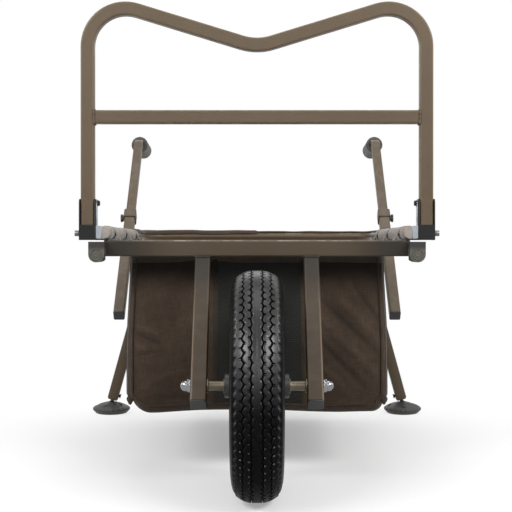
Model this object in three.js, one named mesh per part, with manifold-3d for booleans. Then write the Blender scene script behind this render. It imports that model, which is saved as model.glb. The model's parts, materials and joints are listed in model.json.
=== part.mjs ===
// A single-wheel fishing trolley: a tube bed on one pneumatic wheel and two folding rear legs,
// with a folding front gate, two telescopic handles and a bag slung under the bed.
// Millimetres, +Z up. The wheel is at the front (-Y) and the handles point to the rear (+Y).
// The origin is on the ground at the middle of the trolley's footprint box.

import * as THREE from 'three';
import { mergeVertices } from 'three/addons/utils/BufferGeometryUtils.js';
import Module from 'manifold-3d';

const wasm = await Module();
wasm.setup();

// Fits shared by every piece
const fit_gap = 0.3;
const cut_overrun = 6;
const tube_corner = 3;
const round_sides = 12;
const ball_sides = 16;
const corner_sides = 1;
const bend_steps = 6;

// Wheel
const wheel_radius = 200;
const tyre_width = 91;
const tread_width = 74;
const shoulder_drop = 12;
const tyre_wall = 8;
const tread_groove_width = 4;
const tread_groove_depth = 4;
const tread_groove_pitch = 15.2;
const tread_grooves = 4;
const wheel_sides = 32;
const rim_seat_radius = 101.6;
const rim_flange_height = 11;
const rim_inside_width = 66;
const rim_sheet = 2.5;
const rim_well_depth = 10;
const rim_well_width = 30;
const web_offset = 9;
const web_sheet = 3;
const inner_tube_gap = 0.6;
const inner_tube_wall = 2.5;
const inner_tube_ring_sides = 10;
const inner_tube_pinch_share = 0.3;
const inner_tube_flat_share = 0.12;
const valve_offset = 6;
const valve_radius = 5.5;
const valve_bore = 2;
const valve_tip_radius = 3.8;
const valve_body_length = 28;
const valve_length = 44;

// Hub and axle
const hub_length = 112;
const hub_radius = 21;
const hub_bore = 11;
const hub_flange_radius = 40;
const hub_flange_sheet = 4;
const bearing_radius = 16;
const bearing_width = 10;
const axle_radius = 6;
const spacer_radius = 8.3;
const spacer_flange_radius = 13;
const spacer_flange_sheet = 2;
const nut_across_flats = 19;
const nut_height = 10;
const nut_flange_radius = 11.5;
const nut_flange_sheet = 2.5;
const nut_dome_radius = 8.5;
const nut_dome_set_in = 3;
const nut_sides = 6;
const axle_end_room = 2;

// Fork
const arm_side = 28;
const arm_wall = 2;
const arm_offset = 101;
const arm_overhang = 36;
const cap_sheet = 3;
const cap_plug_depth = 14;

// Bed frame, placed by the middle of its front rail
const bed_slope = THREE.MathUtils.degToRad(2.5);
const rail_ahead = 182;
const rail_height = 431;
const rail_side = 30;
const rail_wall = 2;
const cross_side = 25;
const cross_wall = 1.5;
const bed_tube_radius = 11;
const bed_tube_wall = 1.5;
const bed_half_width = 286;
const bed_length = 800;
const bed_corner = 60;
const rail_end_inset = 1;
const rail_half_length = bed_half_width - rail_end_inset;
const middle_rail_at = bed_length / 2;
const rear_rail_inset = 98;
const rear_rail_at = bed_length - rear_rail_inset;

// Foam on the side rails and the fabric hem on the rear bar
const pad_thickness = 1.9;
const pad_end_inset = 240;
const pad_end = bed_length - pad_end_inset;
const hem_thickness = 1.9;
const hem_front_angle = THREE.MathUtils.degToRad(170);
const hem_back_angle = THREE.MathUtils.degToRad(-60);
const hem_steps = 7;

// Corner bumpers
const bumper_radius = 14.5;
const bumper_overlap = 4;
const bumper_reach = 30;
const bumper_drop = 11.5;
const bumper_shoulder = 3;
const bumper_plug_depth = 16;

// Gate
const gate_side = 25;
const gate_wall = 1.5;
const gate_overhang = 30;
const gate_half_width = bed_half_width + gate_overhang;
const gate_dip_height = 352;
const gate_vee_slope = THREE.MathUtils.degToRad(17);
const gate_corner = 71;
const gate_dip_radius = 100;
const crossbar_height = 217;
const post_foot = 5;
const plug_depth = 24;

// Gate hinge
const plate_sheet = 2.5;
const cheek_sheet = 2.5;
const cheek_height = 77;
const cheek_corner = 7;
const hinge_back = 13;
const web_top_height = 26;
const pin_height = 28;
const pin_radius = 4;
const pin_head_radius = 5.5;
const pin_head_length = 9;
const stay_sheet = 2;
const stay_half_depth = 11;
const stay_foot_width = 11;
const stay_foot_height = 24;
const stay_neck_half_depth = 6;
const stay_eye_radius = 6;
const stay_eye_height = 69;
const stay_eye_bore = 2.6;

// Handles, on an axis that crosses the end of the rear rail
const handle_incline = THREE.MathUtils.degToRad(39);
const handle_overhang = 29;
const handle_offset = bed_half_width + handle_overhang;
const sleeve_side = 25;
const sleeve_wall = 1.2;
const sleeve_below = 238;
const sleeve_above = 118;
const handle_wall = 1.5;
const handle_below = 58;
const handle_above = 413;
const handle_bend = 42;
const grip_droop = THREE.MathUtils.degToRad(6);
const grip_start = 24;
const grip_length = 126;
const grip_radius = 22;
const grip_end_wall = 8;
const grip_edge = 5;
const collar_wall = 2.2;
const collar_length = 27;
const collar_lip = 5;
const knob_radius = 10;
const knob_thickness = 5;
const knob_stem_radius = 4;
const knob_boss_height = 2.5;
const knob_boss_radius = 8;
const knob_from_end = 14;
const knob_notches = 6;
const knob_notch_ring = 11;
const knob_notch_radius = 2.5;
const knob_notch_sides = 8;

// Legs
const leg_side = 25;
const leg_wall = 1.5;
const leg_splay = THREE.MathUtils.degToRad(15.6);
const leg_pivot_inset = 29;
const leg_pivot_offset = bed_half_width - leg_pivot_inset;
const leg_pivot_drop = 22.5;
const leg_end_room = 14;
const shin_end_room = 11;
const shin_length = 230;
const ball_radius = 8;
const neck_radius = 4.5;
const leg_cheek_sheet = 2.5;
const leg_cheek_below = 16;
const leg_web_below = 15;
const leg_pin_radius = 4;
const leg_pin_head_radius = 7;
const leg_pin_head_length = 4;
const button_radius = 3.5;
const button_head_radius = 5.5;
const button_head_length = 2.5;
const button_travel = 2;
const button_above_end = 9;
const button_holes = 5;
const button_hole_pitch = 25;

// Feet
const foot_radius = 44.5;
const foot_base_radius = 37;
const foot_rim_height = 8;
const foot_rim_top = 12;
const foot_top_height = 26;
const foot_top_radius = 12;
const ball_height = 22;
const foot_sides = 20;

// Bag
const bag_side_room = 38;
const bag_half_width = bed_half_width - bag_side_room;
const bag_front = 46;
const bag_rear_room = 80;
const bag_rear = rear_rail_at - bag_rear_room;
const bag_drop = 297;
const bag_wall = 5;
const bag_corner = 38;
const bag_corner_sides = 4;
const loop_thickness = 2;
const loop_width = 30;
const loop_places_share = [0.08, 0.5, 0.93];

// Finishes: colour, roughness, metalness
const finishes = {
  frame_paint: [0x6b5d49, 0.45, 0.55],
  dark_paint: [0x574b3a, 0.45, 0.5],
  black_steel: [0x262728, 0.5, 0.5],
  zinc: [0xbfc6ca, 0.3, 0.95],
  chrome: [0xd8dadc, 0.15, 1],
  bearing_steel: [0x9a9da0, 0.25, 1],
  rim_paint: [0x2c2c2c, 0.5, 0.4],
  tyre_rubber: [0x1d1e1f, 0.75, 0],
  soft_rubber: [0x2b2b2c, 0.8, 0],
  bumper_rubber: [0x64615a, 0.7, 0],
  foam: [0x8b8880, 0.9, 0],
  fabric: [0x3e352d, 0.95, 0],
  plastic: [0x2d2d2e, 0.55, 0],
  foot_plastic: [0x4b4b47, 0.6, 0],
};

// Solids: closing, joining and cutting geometries
function flipped(index) {
  const turned = index.slice();
  for (let at = 0; at < turned.length; at += 3) {
    [turned[at], turned[at + 1]] = [turned[at + 1], turned[at]];
  }
  return turned;
}

function signed_volume(places, index) {
  const [a, b, c] = [new THREE.Vector3(), new THREE.Vector3(), new THREE.Vector3()];
  let volume = 0;
  for (let at = 0; at < index.length; at += 3) {
    a.fromArray(places, 3 * index[at]);
    b.fromArray(places, 3 * index[at + 1]);
    c.fromArray(places, 3 * index[at + 2]);
    volume += a.dot(b.cross(c)) / 6;
  }
  return volume;
}

function solid(geometry) {
  const bare = geometry.clone();
  for (const name of ['normal', 'uv']) bare.deleteAttribute(name);
  const merged = mergeVertices(bare);
  const places = new Float32Array(merged.attributes.position.array);
  const index = new Uint32Array(merged.index.array);
  const triVerts = signed_volume(places, index) < 0 ? flipped(index) : index;
  return new wasm.Manifold(new wasm.Mesh({ numProp: 3, vertProperties: places, triVerts }));
}

function surface(body) {
  const mesh = body.getMesh();
  const geometry = new THREE.BufferGeometry();
  geometry.setAttribute('position', new THREE.BufferAttribute(new Float32Array(mesh.vertProperties), 3));
  geometry.setIndex(Array.from(mesh.triVerts));
  return geometry;
}

function facing_out(geometry) {
  return surface(solid(geometry));
}

function join(...geometries) {
  return surface(geometries.map(solid).reduce((body, next) => body.add(next)));
}

function cut(geometry, ...tools) {
  return surface(tools.map(solid).reduce((body, tool) => body.subtract(tool), solid(geometry)));
}

// Basic forms
function block(x_from, x_to, y_from, y_to, z_from, z_to) {
  const box = new THREE.BoxGeometry(x_to - x_from, y_to - y_from, z_to - z_from);
  return box.translate((x_from + x_to) / 2, (y_from + y_to) / 2, (z_from + z_to) / 2);
}

function disc_along_x(radius, x_from, x_to, y = 0, z = 0, sides = round_sides) {
  const disc = new THREE.CylinderGeometry(radius, radius, x_to - x_from, sides);
  return disc.rotateZ(Math.PI / 2).translate((x_from + x_to) / 2, y, z);
}

function disc_along_z(radius, z_from, z_to, x = 0, y = 0) {
  const disc = new THREE.CylinderGeometry(radius, radius, z_to - z_from, round_sides);
  return disc.rotateX(Math.PI / 2).translate(x, y, (z_from + z_to) / 2);
}

function square_outline(Outline, side, corner) {
  const outline = new Outline();
  const half = side / 2;
  const inner = half - corner;
  outline.moveTo(half, -inner);
  outline.absarc(inner, inner, corner, 0, Math.PI / 2);
  outline.absarc(-inner, inner, corner, Math.PI / 2, Math.PI);
  outline.absarc(-inner, -inner, corner, Math.PI, 1.5 * Math.PI);
  outline.absarc(inner, -inner, corner, 1.5 * Math.PI, 2 * Math.PI);
  return outline;
}

function square_section(side, wall = 0) {
  const section = square_outline(THREE.Shape, side, tube_corner);
  if (wall > 0) section.holes.push(square_outline(THREE.Path, side - 2 * wall, tube_corner - wall));
  return section;
}

function round_section(radius, wall = 0) {
  const section = new THREE.Shape();
  section.absarc(0, 0, radius, 0, 2 * Math.PI);
  if (wall > 0) {
    const bore = new THREE.Path();
    bore.absarc(0, 0, radius - wall, 0, 2 * Math.PI);
    section.holes.push(bore);
  }
  return section;
}

function extruded(section, length, curveSegments = corner_sides) {
  return new THREE.ExtrudeGeometry(section, { depth: length, bevelEnabled: false, curveSegments });
}

// A section that is extruded along X, Y or Z from one place to another
function bar_x(section, from, to, sides = corner_sides) {
  return extruded(section, to - from, sides).rotateY(Math.PI / 2).translate(from, 0, 0);
}

function bar_y(section, from, to, sides = corner_sides) {
  return extruded(section, to - from, sides).rotateX(-Math.PI / 2).translate(0, from, 0);
}

function bar_z(section, from, to, sides = corner_sides) {
  return extruded(section, to - from, sides).translate(0, 0, from);
}

// A route of straight runs with rounded corners, as a curve whose stations are the ends of its runs
// and the steps of its bends
class RoundedRoute extends THREE.Curve {
  constructor(corners, radii) {
    super();
    this.stations = [];
    const heading = (from, to) => to.clone().sub(from).normalize();
    this.add_station(corners[0], heading(corners[0], corners[1]));
    for (let at = 1; at < corners.length - 1; at += 1) {
      const before = heading(corners[at - 1], corners[at]);
      const after = heading(corners[at], corners[at + 1]);
      this.add_bend(corners[at], before, after, radii[at - 1]);
    }
    const last = corners.length - 1;
    this.add_station(corners[last], heading(corners[last - 1], corners[last]));
  }

  add_station(place, tangent) {
    this.stations.push({ place: place.clone(), tangent: tangent.clone() });
  }

  add_bend(corner, before, after, radius) {
    const turn = before.angleTo(after);
    const start = corner.clone().addScaledVector(before, -radius * Math.tan(turn / 2));
    const across = after.clone().addScaledVector(before, -after.dot(before)).normalize();
    for (let step = 0; step <= bend_steps; step += 1) {
      const angle = (turn * step) / bend_steps;
      const place = start.clone().addScaledVector(before, radius * Math.sin(angle));
      place.addScaledVector(across, radius * (1 - Math.cos(angle)));
      const tangent = before.clone().multiplyScalar(Math.cos(angle));
      this.add_station(place, tangent.addScaledVector(across, Math.sin(angle)));
    }
  }

  station(share) {
    return this.stations[Math.round(share * (this.stations.length - 1))];
  }

  getPointAt(share) {
    return this.station(share).place.clone();
  }

  getTangentAt(share) {
    return this.station(share).tangent.clone();
  }
}

function swept(section, route, curveSegments = corner_sides) {
  const steps = route.stations.length - 1;
  return new THREE.ExtrudeGeometry(section, { steps, extrudePath: route, curveSegments });
}

// A closed outline of [across, radius] points turned round the X axis
function turned_about_x(outline, sides = round_sides) {
  const points = outline.map(([across, radius]) => new THREE.Vector2(radius, across));
  points.push(points[0].clone());
  return facing_out(new THREE.LatheGeometry(points, sides).rotateZ(-Math.PI / 2));
}

function turned_about_z(outline, sides) {
  const points = outline.map(([radius, height]) => new THREE.Vector2(radius, height));
  return facing_out(new THREE.LatheGeometry(points, sides).rotateX(Math.PI / 2));
}

// A geometry built for the right side, mirrored in X for the left side
function mirrored_if(geometry, side) {
  return side > 0 ? geometry : facing_out(geometry.clone().scale(-1, 1, 1));
}

// The scene graph and its frames
const model = new THREE.Group();
const bed = new THREE.Group();
bed.position.set(0, rail_ahead, rail_height);
bed.rotation.x = -bed_slope;
model.add(bed);

function add(group, name, geometry, finish) {
  const [color, roughness, metalness] = finishes[finish];
  const mesh = new THREE.Mesh(geometry, new THREE.MeshStandardMaterial({ color, roughness, metalness }));
  mesh.name = name;
  group.add(mesh);
  return mesh;
}

const sides = [['left', -1], ['right', 1]];

function ground_to_bed(y, z) {
  bed.updateMatrixWorld(true);
  return bed.worldToLocal(new THREE.Vector3(0, y, z));
}

// Heights in the bed frame that several pieces share
const rail_top = rail_side / 2;
const plate_bottom = rail_top + fit_gap;
const plate_top = plate_bottom + plate_sheet;
const bed_tube_height = plate_top + fit_gap + bed_tube_radius;
const cross_height = bed_tube_height - bed_tube_radius - fit_gap - cross_side / 2;
const axle_in_bed = ground_to_bed(0, wheel_radius);

// Wheel
const rib_half = tread_groove_pitch / 2;

// The middle rib is level, and the ribs beside it drop away towards the shoulders
function crown_radius(across) {
  const share = Math.max(0, Math.abs(across) - rib_half) / (tread_width / 2 - rib_half);
  return wheel_radius - shoulder_drop * share ** 2;
}

function tread_outline() {
  const points = [[-tread_width / 2, crown_radius(tread_width / 2)]];
  for (let groove = 0; groove < tread_grooves; groove += 1) {
    const middle = (groove - (tread_grooves - 1) / 2) * tread_groove_pitch;
    const [from, to] = [middle - tread_groove_width / 2, middle + tread_groove_width / 2];
    points.push([from, crown_radius(from)], [from, crown_radius(from) - tread_groove_depth]);
    points.push([to, crown_radius(to) - tread_groove_depth], [to, crown_radius(to)]);
  }
  points.push([tread_width / 2, crown_radius(tread_width / 2)]);
  return points;
}

const bead_radius = rim_seat_radius + fit_gap;
const bead_face = rim_inside_width / 2 - fit_gap;
const flange_top = rim_seat_radius + rim_flange_height;

function make_tyre() {
  const section_height = wheel_radius - flange_top;
  const wall_shares = [[0.86, 0.06], [0.97, 0.28], [1, 0.5], [0.96, 0.72]];
  const wall = wall_shares.map(([out, up]) => [out * tyre_width / 2, flange_top + up * section_height]);
  const mirrored = wall.map(([across, radius]) => [-across, radius]);
  const outside = [[-bead_face, bead_radius], [-bead_face, flange_top + fit_gap], ...mirrored];
  outside.push(...tread_outline(), ...wall.reverse(), [bead_face, flange_top + fit_gap]);
  outside.push([bead_face, bead_radius]);
  const inside_top = crown_radius(0) - tread_groove_depth - tyre_wall;
  const inside_half = tyre_width / 2 - tyre_wall;
  const inside_shares = [[0.66, 0], [0.82, 0.18], [1, 0.5], [0.93, 0.75], [0.62, 0.97], [0, 1]];
  const inside_rise = inside_top - bead_radius;
  const inside = inside_shares.map(([out, up]) => [out * inside_half, bead_radius + up * inside_rise]);
  const other = inside.slice(0, -1).reverse().map(([across, radius]) => [-across, radius]);
  return turned_about_x([...outside, ...inside, ...other], wheel_sides);
}

function make_inner_tube() {
  const bottom = bead_radius + inner_tube_gap;
  const top = crown_radius(0) - tread_groove_depth - tyre_wall - inner_tube_gap;
  const middle = (bottom + top) / 2;
  const half_height = (top - bottom) / 2;
  const half_width = tyre_width / 2 - tyre_wall - inner_tube_gap;
  const ring = (shrink) => {
    const points = [];
    for (let step = 0; step < inner_tube_ring_sides; step += 1) {
      const angle = (2 * Math.PI * step) / inner_tube_ring_sides;
      const pinched = inner_tube_pinch_share * Math.max(0, -Math.sin(angle));
      const narrow = 1 - pinched - inner_tube_flat_share * Math.abs(Math.sin(angle));
      const across = (half_width - shrink) * Math.cos(angle) * narrow;
      points.push([across, middle + (half_height - shrink) * Math.sin(angle)]);
    }
    return turned_about_x(points, wheel_sides);
  };
  const bore = disc_along_z(valve_bore, bottom - cut_overrun, middle, -valve_offset);
  return cut(ring(0), ring(inner_tube_wall), bore);
}

function make_rim() {
  const half = rim_inside_width / 2;
  const well = rim_seat_radius - rim_well_depth;
  const slope = rim_well_depth;
  const outer = [[-half - rim_sheet, flange_top], [-half, flange_top], [-half, rim_seat_radius]];
  outer.push([-rim_well_width / 2 - slope, rim_seat_radius], [-rim_well_width / 2, well]);
  const right = outer.map(([across, radius]) => [-across, radius]).reverse();
  const under = (across, radius) => [across, radius - rim_sheet];
  const web_right = web_offset + web_sheet / 2;
  const web_left = web_offset - web_sheet / 2;
  const inner = [under(half + rim_sheet, rim_seat_radius)];
  inner.push(under(rim_well_width / 2 + slope, rim_seat_radius), under(rim_well_width / 2, well));
  inner.push(under(web_right, well), [web_right, hub_radius + fit_gap]);
  inner.push([web_left, hub_radius + fit_gap], under(web_left, well), under(-rim_well_width / 2, well));
  inner.push(under(-rim_well_width / 2 - slope, rim_seat_radius), under(-half - rim_sheet, rim_seat_radius));
  const hole = disc_along_z(valve_radius + fit_gap, 0, rim_seat_radius, -valve_offset);
  return cut(turned_about_x([...outer, ...right, ...inner], wheel_sides), hole);
}

function make_valve_stem() {
  const top = bead_radius + inner_tube_gap - 3 * fit_gap;
  const shoulder = top - valve_body_length;
  const tip = top - valve_length;
  const body = disc_along_z(valve_radius, shoulder, top, -valve_offset);
  const thread = disc_along_z(valve_tip_radius, tip, shoulder + fit_gap, -valve_offset);
  return join(body, thread);
}

function make_hub() {
  const half = hub_length / 2;
  const seat = bearing_radius + fit_gap;
  const step = half - bearing_width - 2 * fit_gap;
  const flange_from = web_offset + web_sheet / 2 + fit_gap;
  const flange_to = flange_from + hub_flange_sheet;
  const outline = [[-half, seat], [-half, hub_radius], [flange_from, hub_radius]];
  outline.push([flange_from, hub_flange_radius], [flange_to, hub_flange_radius], [flange_to, hub_radius]);
  outline.push([half, hub_radius], [half, seat], [step, seat], [step, hub_bore], [-step, hub_bore]);
  outline.push([-step, seat]);
  return turned_about_x(outline, wheel_sides / 2);
}

function make_bearing(side) {
  const outer_face = side * (hub_length / 2 - fit_gap);
  const inner_face = outer_face - side * bearing_width;
  const bore = axle_radius + fit_gap;
  const outline = [[inner_face, bore], [inner_face, bearing_radius], [outer_face, bearing_radius]];
  return turned_about_x([...outline, [outer_face, bore]], wheel_sides / 2);
}

function add_wheel() {
  const wheel = new THREE.Group();
  wheel.position.set(0, 0, wheel_radius);
  model.add(wheel);
  add(wheel, 'tyre', make_tyre(), 'tyre_rubber');
  add(wheel, 'inner_tube', make_inner_tube(), 'soft_rubber');
  add(wheel, 'wheel_rim', make_rim(), 'rim_paint');
  add(wheel, 'wheel_hub', make_hub(), 'rim_paint');
  add(wheel, 'valve_stem', make_valve_stem(), 'soft_rubber');
  for (const [name, side] of sides) {
    add(wheel, `wheel_bearing_${name}`, make_bearing(side), 'bearing_steel');
  }
}

// Axle, spacers and nuts
const arm_inner = arm_offset - arm_side / 2;
const arm_outer = arm_offset + arm_side / 2;
const nut_face = arm_outer + fit_gap;
const axle_end = nut_face + nut_flange_sheet + nut_height;

function make_spacer(side) {
  const start = hub_length / 2 + fit_gap;
  const bore = axle_radius + fit_gap;
  const step = start + spacer_flange_sheet;
  const outline = [[start, bore], [start, spacer_flange_radius]];
  outline.push([step, spacer_flange_radius], [step, spacer_radius]);
  outline.push([arm_inner - fit_gap, spacer_radius], [arm_inner - fit_gap, bore]);
  return turned_about_x(outline.map(([across, radius]) => [side * across, radius]));
}

function make_nut() {
  const hex_radius = nut_across_flats / Math.sqrt(3);
  const hex_to = nut_face + nut_flange_sheet + nut_height;
  const hex = disc_along_x(hex_radius, nut_face, hex_to, 0, 0, nut_sides);
  const flange = disc_along_x(nut_flange_radius, nut_face, nut_face + nut_flange_sheet);
  const dome = new THREE.SphereGeometry(nut_dome_radius, round_sides, round_sides / 2);
  dome.translate(hex_to - nut_dome_set_in, 0, 0);
  const bore = disc_along_x(axle_radius + fit_gap, nut_face - cut_overrun, axle_end + fit_gap);
  return cut(join(hex, flange, dome), bore);
}

function add_axle() {
  const line = new THREE.Group();
  line.position.set(0, 0, wheel_radius);
  model.add(line);
  add(line, 'axle', disc_along_x(axle_radius, -axle_end + axle_end_room, axle_end - axle_end_room), 'zinc');
  for (const [name, side] of sides) {
    add(line, `axle_spacer_${name}`, make_spacer(side), 'zinc');
    add(line, `axle_nut_${name}`, mirrored_if(make_nut(), side), 'chrome');
  }
}

// Fork arms, from under the front rail down through the axle
const arm_top = new THREE.Vector3(0, 0, -rail_side / 2 - fit_gap);
const arm_line = arm_top.clone().sub(axle_in_bed);
const arm_lean = Math.atan2(-arm_line.y, arm_line.z);

function on_arm(geometry) {
  return geometry.rotateX(arm_lean).translate(0, axle_in_bed.y, axle_in_bed.z);
}

function make_fork_arm() {
  const length = arm_line.length() + arm_side;
  const tube = on_arm(bar_z(square_section(arm_side, arm_wall), -arm_overhang, length));
  const reach = arm_side * 2;
  const above = block(-reach, reach, -reach, reach, arm_top.z, arm_top.z + arm_side * 3);
  const bore = disc_along_x(axle_radius + fit_gap, -reach, reach, axle_in_bed.y, axle_in_bed.z);
  return cut(tube, above, bore);
}

function make_tube_cap(side_length, wall, plug_depth_inside) {
  const plate = bar_z(square_section(side_length), -cap_sheet, 0);
  const plug = bar_z(square_section(side_length - 2 * wall - 2 * fit_gap), -cap_sheet / 2, plug_depth_inside);
  return join(plate, plug);
}

function add_fork() {
  for (const [name, side] of sides) {
    const arm = add(bed, `fork_arm_${name}`, make_fork_arm(), 'frame_paint');
    arm.position.x = side * arm_offset;
    const cap = make_tube_cap(arm_side, arm_wall, cap_plug_depth);
    cap.translate(0, 0, -arm_overhang - fit_gap);
    const end = add(bed, `fork_cap_${name}`, on_arm(cap), 'foot_plastic');
    end.position.x = side * arm_offset;
  }
}

// Bed frame
function make_bed_tube() {
  const front = -stay_half_depth + fit_gap;
  const corners = [[-1, front], [-1, bed_length], [1, bed_length], [1, front]];
  const places = corners.map(([side, y]) => new THREE.Vector3(side * bed_half_width, y, bed_tube_height));
  const route = new RoundedRoute(places, [bed_corner, bed_corner]);
  return swept(round_section(bed_tube_radius, bed_tube_wall), route, round_sides / 2);
}

function add_cross_rail(name, half_length, y) {
  const rail = bar_x(square_section(cross_side, cross_wall), -half_length, half_length);
  add(bed, name, rail, 'frame_paint').position.set(0, y, cross_height);
}

function add_bed_frame() {
  const front = bar_x(square_section(rail_side, rail_wall), -rail_half_length, rail_half_length);
  add(bed, 'front_rail', front, 'frame_paint');
  add_cross_rail('middle_rail', bed_half_width + bed_tube_radius, middle_rail_at);
  add_cross_rail('rear_rail', handle_offset - sleeve_side / 2 - fit_gap, rear_rail_at);
  add(bed, 'bed_tube', make_bed_tube(), 'frame_paint');
}

// Foam on the side rails, hem on the rear bar
const pad_inner = bed_tube_radius + fit_gap;
const pad_radius = pad_inner + pad_thickness;
const pad_start = hinge_back + fit_gap;

function make_hem() {
  const outer = pad_inner + hem_thickness;
  const sector = new THREE.Shape();
  sector.absarc(0, 0, outer, hem_back_angle, hem_front_angle, false);
  sector.absarc(0, 0, pad_inner, hem_front_angle, hem_back_angle, true);
  const half = bed_half_width - bed_corner;
  const hem = extruded(sector, 2 * half, hem_steps);
  return hem.rotateY(Math.PI / 2).rotateX(Math.PI / 2).translate(-half, 0, 0);
}

// The foam is notched where the middle rail is welded under the tube
function make_pad() {
  const foam = bar_y(round_section(pad_radius, pad_thickness), pad_start, pad_end, round_sides / 2);
  const half = cross_side / 2 + fit_gap;
  const reach = 2 * pad_radius;
  const notch = block(-reach, reach, middle_rail_at - half, middle_rail_at + half, -reach, -bed_tube_radius);
  return cut(foam, notch);
}

function add_soft_covers() {
  for (const [name, side] of sides) {
    const pad = add(bed, `side_pad_${name}`, make_pad(), 'foam');
    pad.position.set(side * bed_half_width, 0, bed_tube_height);
  }
  add(bed, 'rear_hem', make_hem(), 'fabric').position.set(0, bed_length, bed_tube_height);
}

// Corner bumpers, plugged into the ends of the front rail
function make_bumper() {
  const middle = rail_half_length - bumper_overlap + bumper_radius;
  const top = rail_top - bumper_shoulder;
  const front = -rail_side / 2 - bumper_reach;
  const outline = new THREE.Shape();
  outline.moveTo(bumper_radius, top);
  outline.lineTo(-bumper_radius, top);
  outline.lineTo(-bumper_radius, -bumper_drop);
  outline.absarc(0, -bumper_drop, bumper_radius, Math.PI, 2 * Math.PI, false);
  const tongue = extruded(outline, rail_side + bumper_reach, round_sides / 2).rotateX(Math.PI / 2);
  tongue.translate(middle, rail_side / 2, 0);
  const reach = rail_side;
  const seat_side = rail_side / 2 + fit_gap;
  const seat = block(rail_half_length - reach, rail_half_length + fit_gap, -seat_side, reach, -reach, reach);
  const half = rail_side / 2 - rail_wall - fit_gap;
  const plug_from = rail_half_length - bumper_plug_depth;
  const plug = block(plug_from, rail_half_length + bumper_overlap, -half, half, -half, top - fit_gap);
  return join(cut(tongue, seat), plug);
}

function add_bumpers() {
  for (const [name, side] of sides) {
    add(bed, `corner_bumper_${name}`, mirrored_if(make_bumper(), side), 'bumper_rubber');
  }
}

// Gate hinge: a black channel with a front web, a zinc stay on its inner cheek, and a pin
const post_half = gate_side / 2;
const cheek_inner = gate_half_width - post_half - 1.5 * fit_gap;
const cheek_outer = gate_half_width + post_half + 1.5 * fit_gap;
const hinge_front = -post_half - fit_gap - cheek_sheet;
const hinge_top = plate_bottom + cheek_height;

function make_cheek_outline() {
  const outline = new THREE.Shape();
  outline.moveTo(hinge_front, plate_bottom);
  outline.lineTo(hinge_back, plate_bottom);
  outline.absarc(hinge_back - cheek_corner, hinge_top - cheek_corner, cheek_corner, 0, Math.PI / 2);
  outline.absarc(hinge_front + cheek_corner, hinge_top - cheek_corner, cheek_corner, Math.PI / 2, Math.PI);
  return outline;
}

// An outline drawn as (y, z), extruded along X
function slab_x(outline, x_from, x_to) {
  const slab = extruded(outline, x_to - x_from);
  return slab.rotateX(Math.PI / 2).rotateZ(Math.PI / 2).translate(x_from, 0, 0);
}

function make_hinge_bracket() {
  const body = slab_x(make_cheek_outline(), cheek_inner - cheek_sheet, cheek_outer + cheek_sheet);
  const far = hinge_top + cut_overrun;
  const low = plate_bottom - cut_overrun;
  const room = block(cheek_inner, cheek_outer, -post_half - fit_gap, hinge_back + cut_overrun, low, far);
  const sill = plate_top + web_top_height;
  const window = block(cheek_inner, cheek_outer, hinge_front - cut_overrun, 0, sill, far);
  const foot_from = bed_half_width - bed_tube_radius;
  const foot_to = cheek_inner - cheek_sheet / 2;
  const foot = block(foot_from, foot_to, hinge_front, hinge_back, plate_bottom, plate_top);
  const bore = disc_along_x(pin_radius + fit_gap, foot_from, cheek_outer + pin_head_length, 0, pin_height);
  return cut(join(cut(body, room, window), foot), bore);
}

const stay_outer = cheek_inner - cheek_sheet - fit_gap;
const stay_inner = stay_outer - stay_sheet;

function make_hinge_stay() {
  const foot_z = plate_top + fit_gap;
  const foot_top = foot_z + stay_foot_height;
  const eye_z = plate_bottom + stay_eye_height;
  const low = block(stay_inner, stay_outer, -stay_half_depth, stay_half_depth, foot_z, foot_top);
  const neck = block(stay_inner, stay_outer, -stay_neck_half_depth, stay_neck_half_depth, foot_z, eye_z);
  const eye = disc_along_x(stay_eye_radius, stay_inner, stay_outer, 0, eye_z);
  const flange_x = stay_outer - stay_foot_width;
  const flange_y = -stay_half_depth - stay_sheet;
  const flange = block(flange_x, stay_outer, flange_y, -stay_half_depth, foot_z, foot_top);
  const [bore_from, bore_to] = [stay_inner - stay_sheet, stay_outer + stay_sheet];
  const pin_bore = disc_along_x(pin_radius + fit_gap, bore_from, bore_to, 0, pin_height);
  const eye_bore = disc_along_x(stay_eye_bore, bore_from, bore_to, 0, eye_z);
  return cut(join(low, neck, eye, flange), pin_bore, eye_bore);
}

function make_hinge_pin() {
  const shank_to = cheek_outer + cheek_sheet + fit_gap;
  const shank = disc_along_x(pin_radius, stay_inner + fit_gap, shank_to + pin_head_length / 2, 0, pin_height);
  const head = disc_along_x(pin_head_radius, shank_to, shank_to + pin_head_length, 0, pin_height);
  return join(shank, head);
}

function add_gate_hinges() {
  for (const [name, side] of sides) {
    add(bed, `hinge_bracket_${name}`, mirrored_if(make_hinge_bracket(), side), 'black_steel');
    add(bed, `hinge_stay_${name}`, mirrored_if(make_hinge_stay(), side), 'zinc');
    add(bed, `hinge_pin_${name}`, mirrored_if(make_hinge_pin(), side), 'zinc');
  }
}

// Gate: one bent square tube with a dip, a crossbar, and a knuckle plug in each post
function make_gate_bow() {
  const dip = pin_height + gate_dip_height - gate_dip_radius * (1 / Math.cos(gate_vee_slope) - 1);
  const shoulder = dip + gate_half_width * Math.tan(gate_vee_slope);
  const foot = pin_height + post_foot;
  const corners = [[-1, foot], [-1, shoulder], [0, dip], [1, shoulder], [1, foot]];
  const places = corners.map(([side, z]) => new THREE.Vector3(side * gate_half_width, 0, z));
  const route = new RoundedRoute(places, [gate_corner, gate_dip_radius, gate_corner]);
  return swept(square_section(gate_side, gate_wall), route);
}

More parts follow.
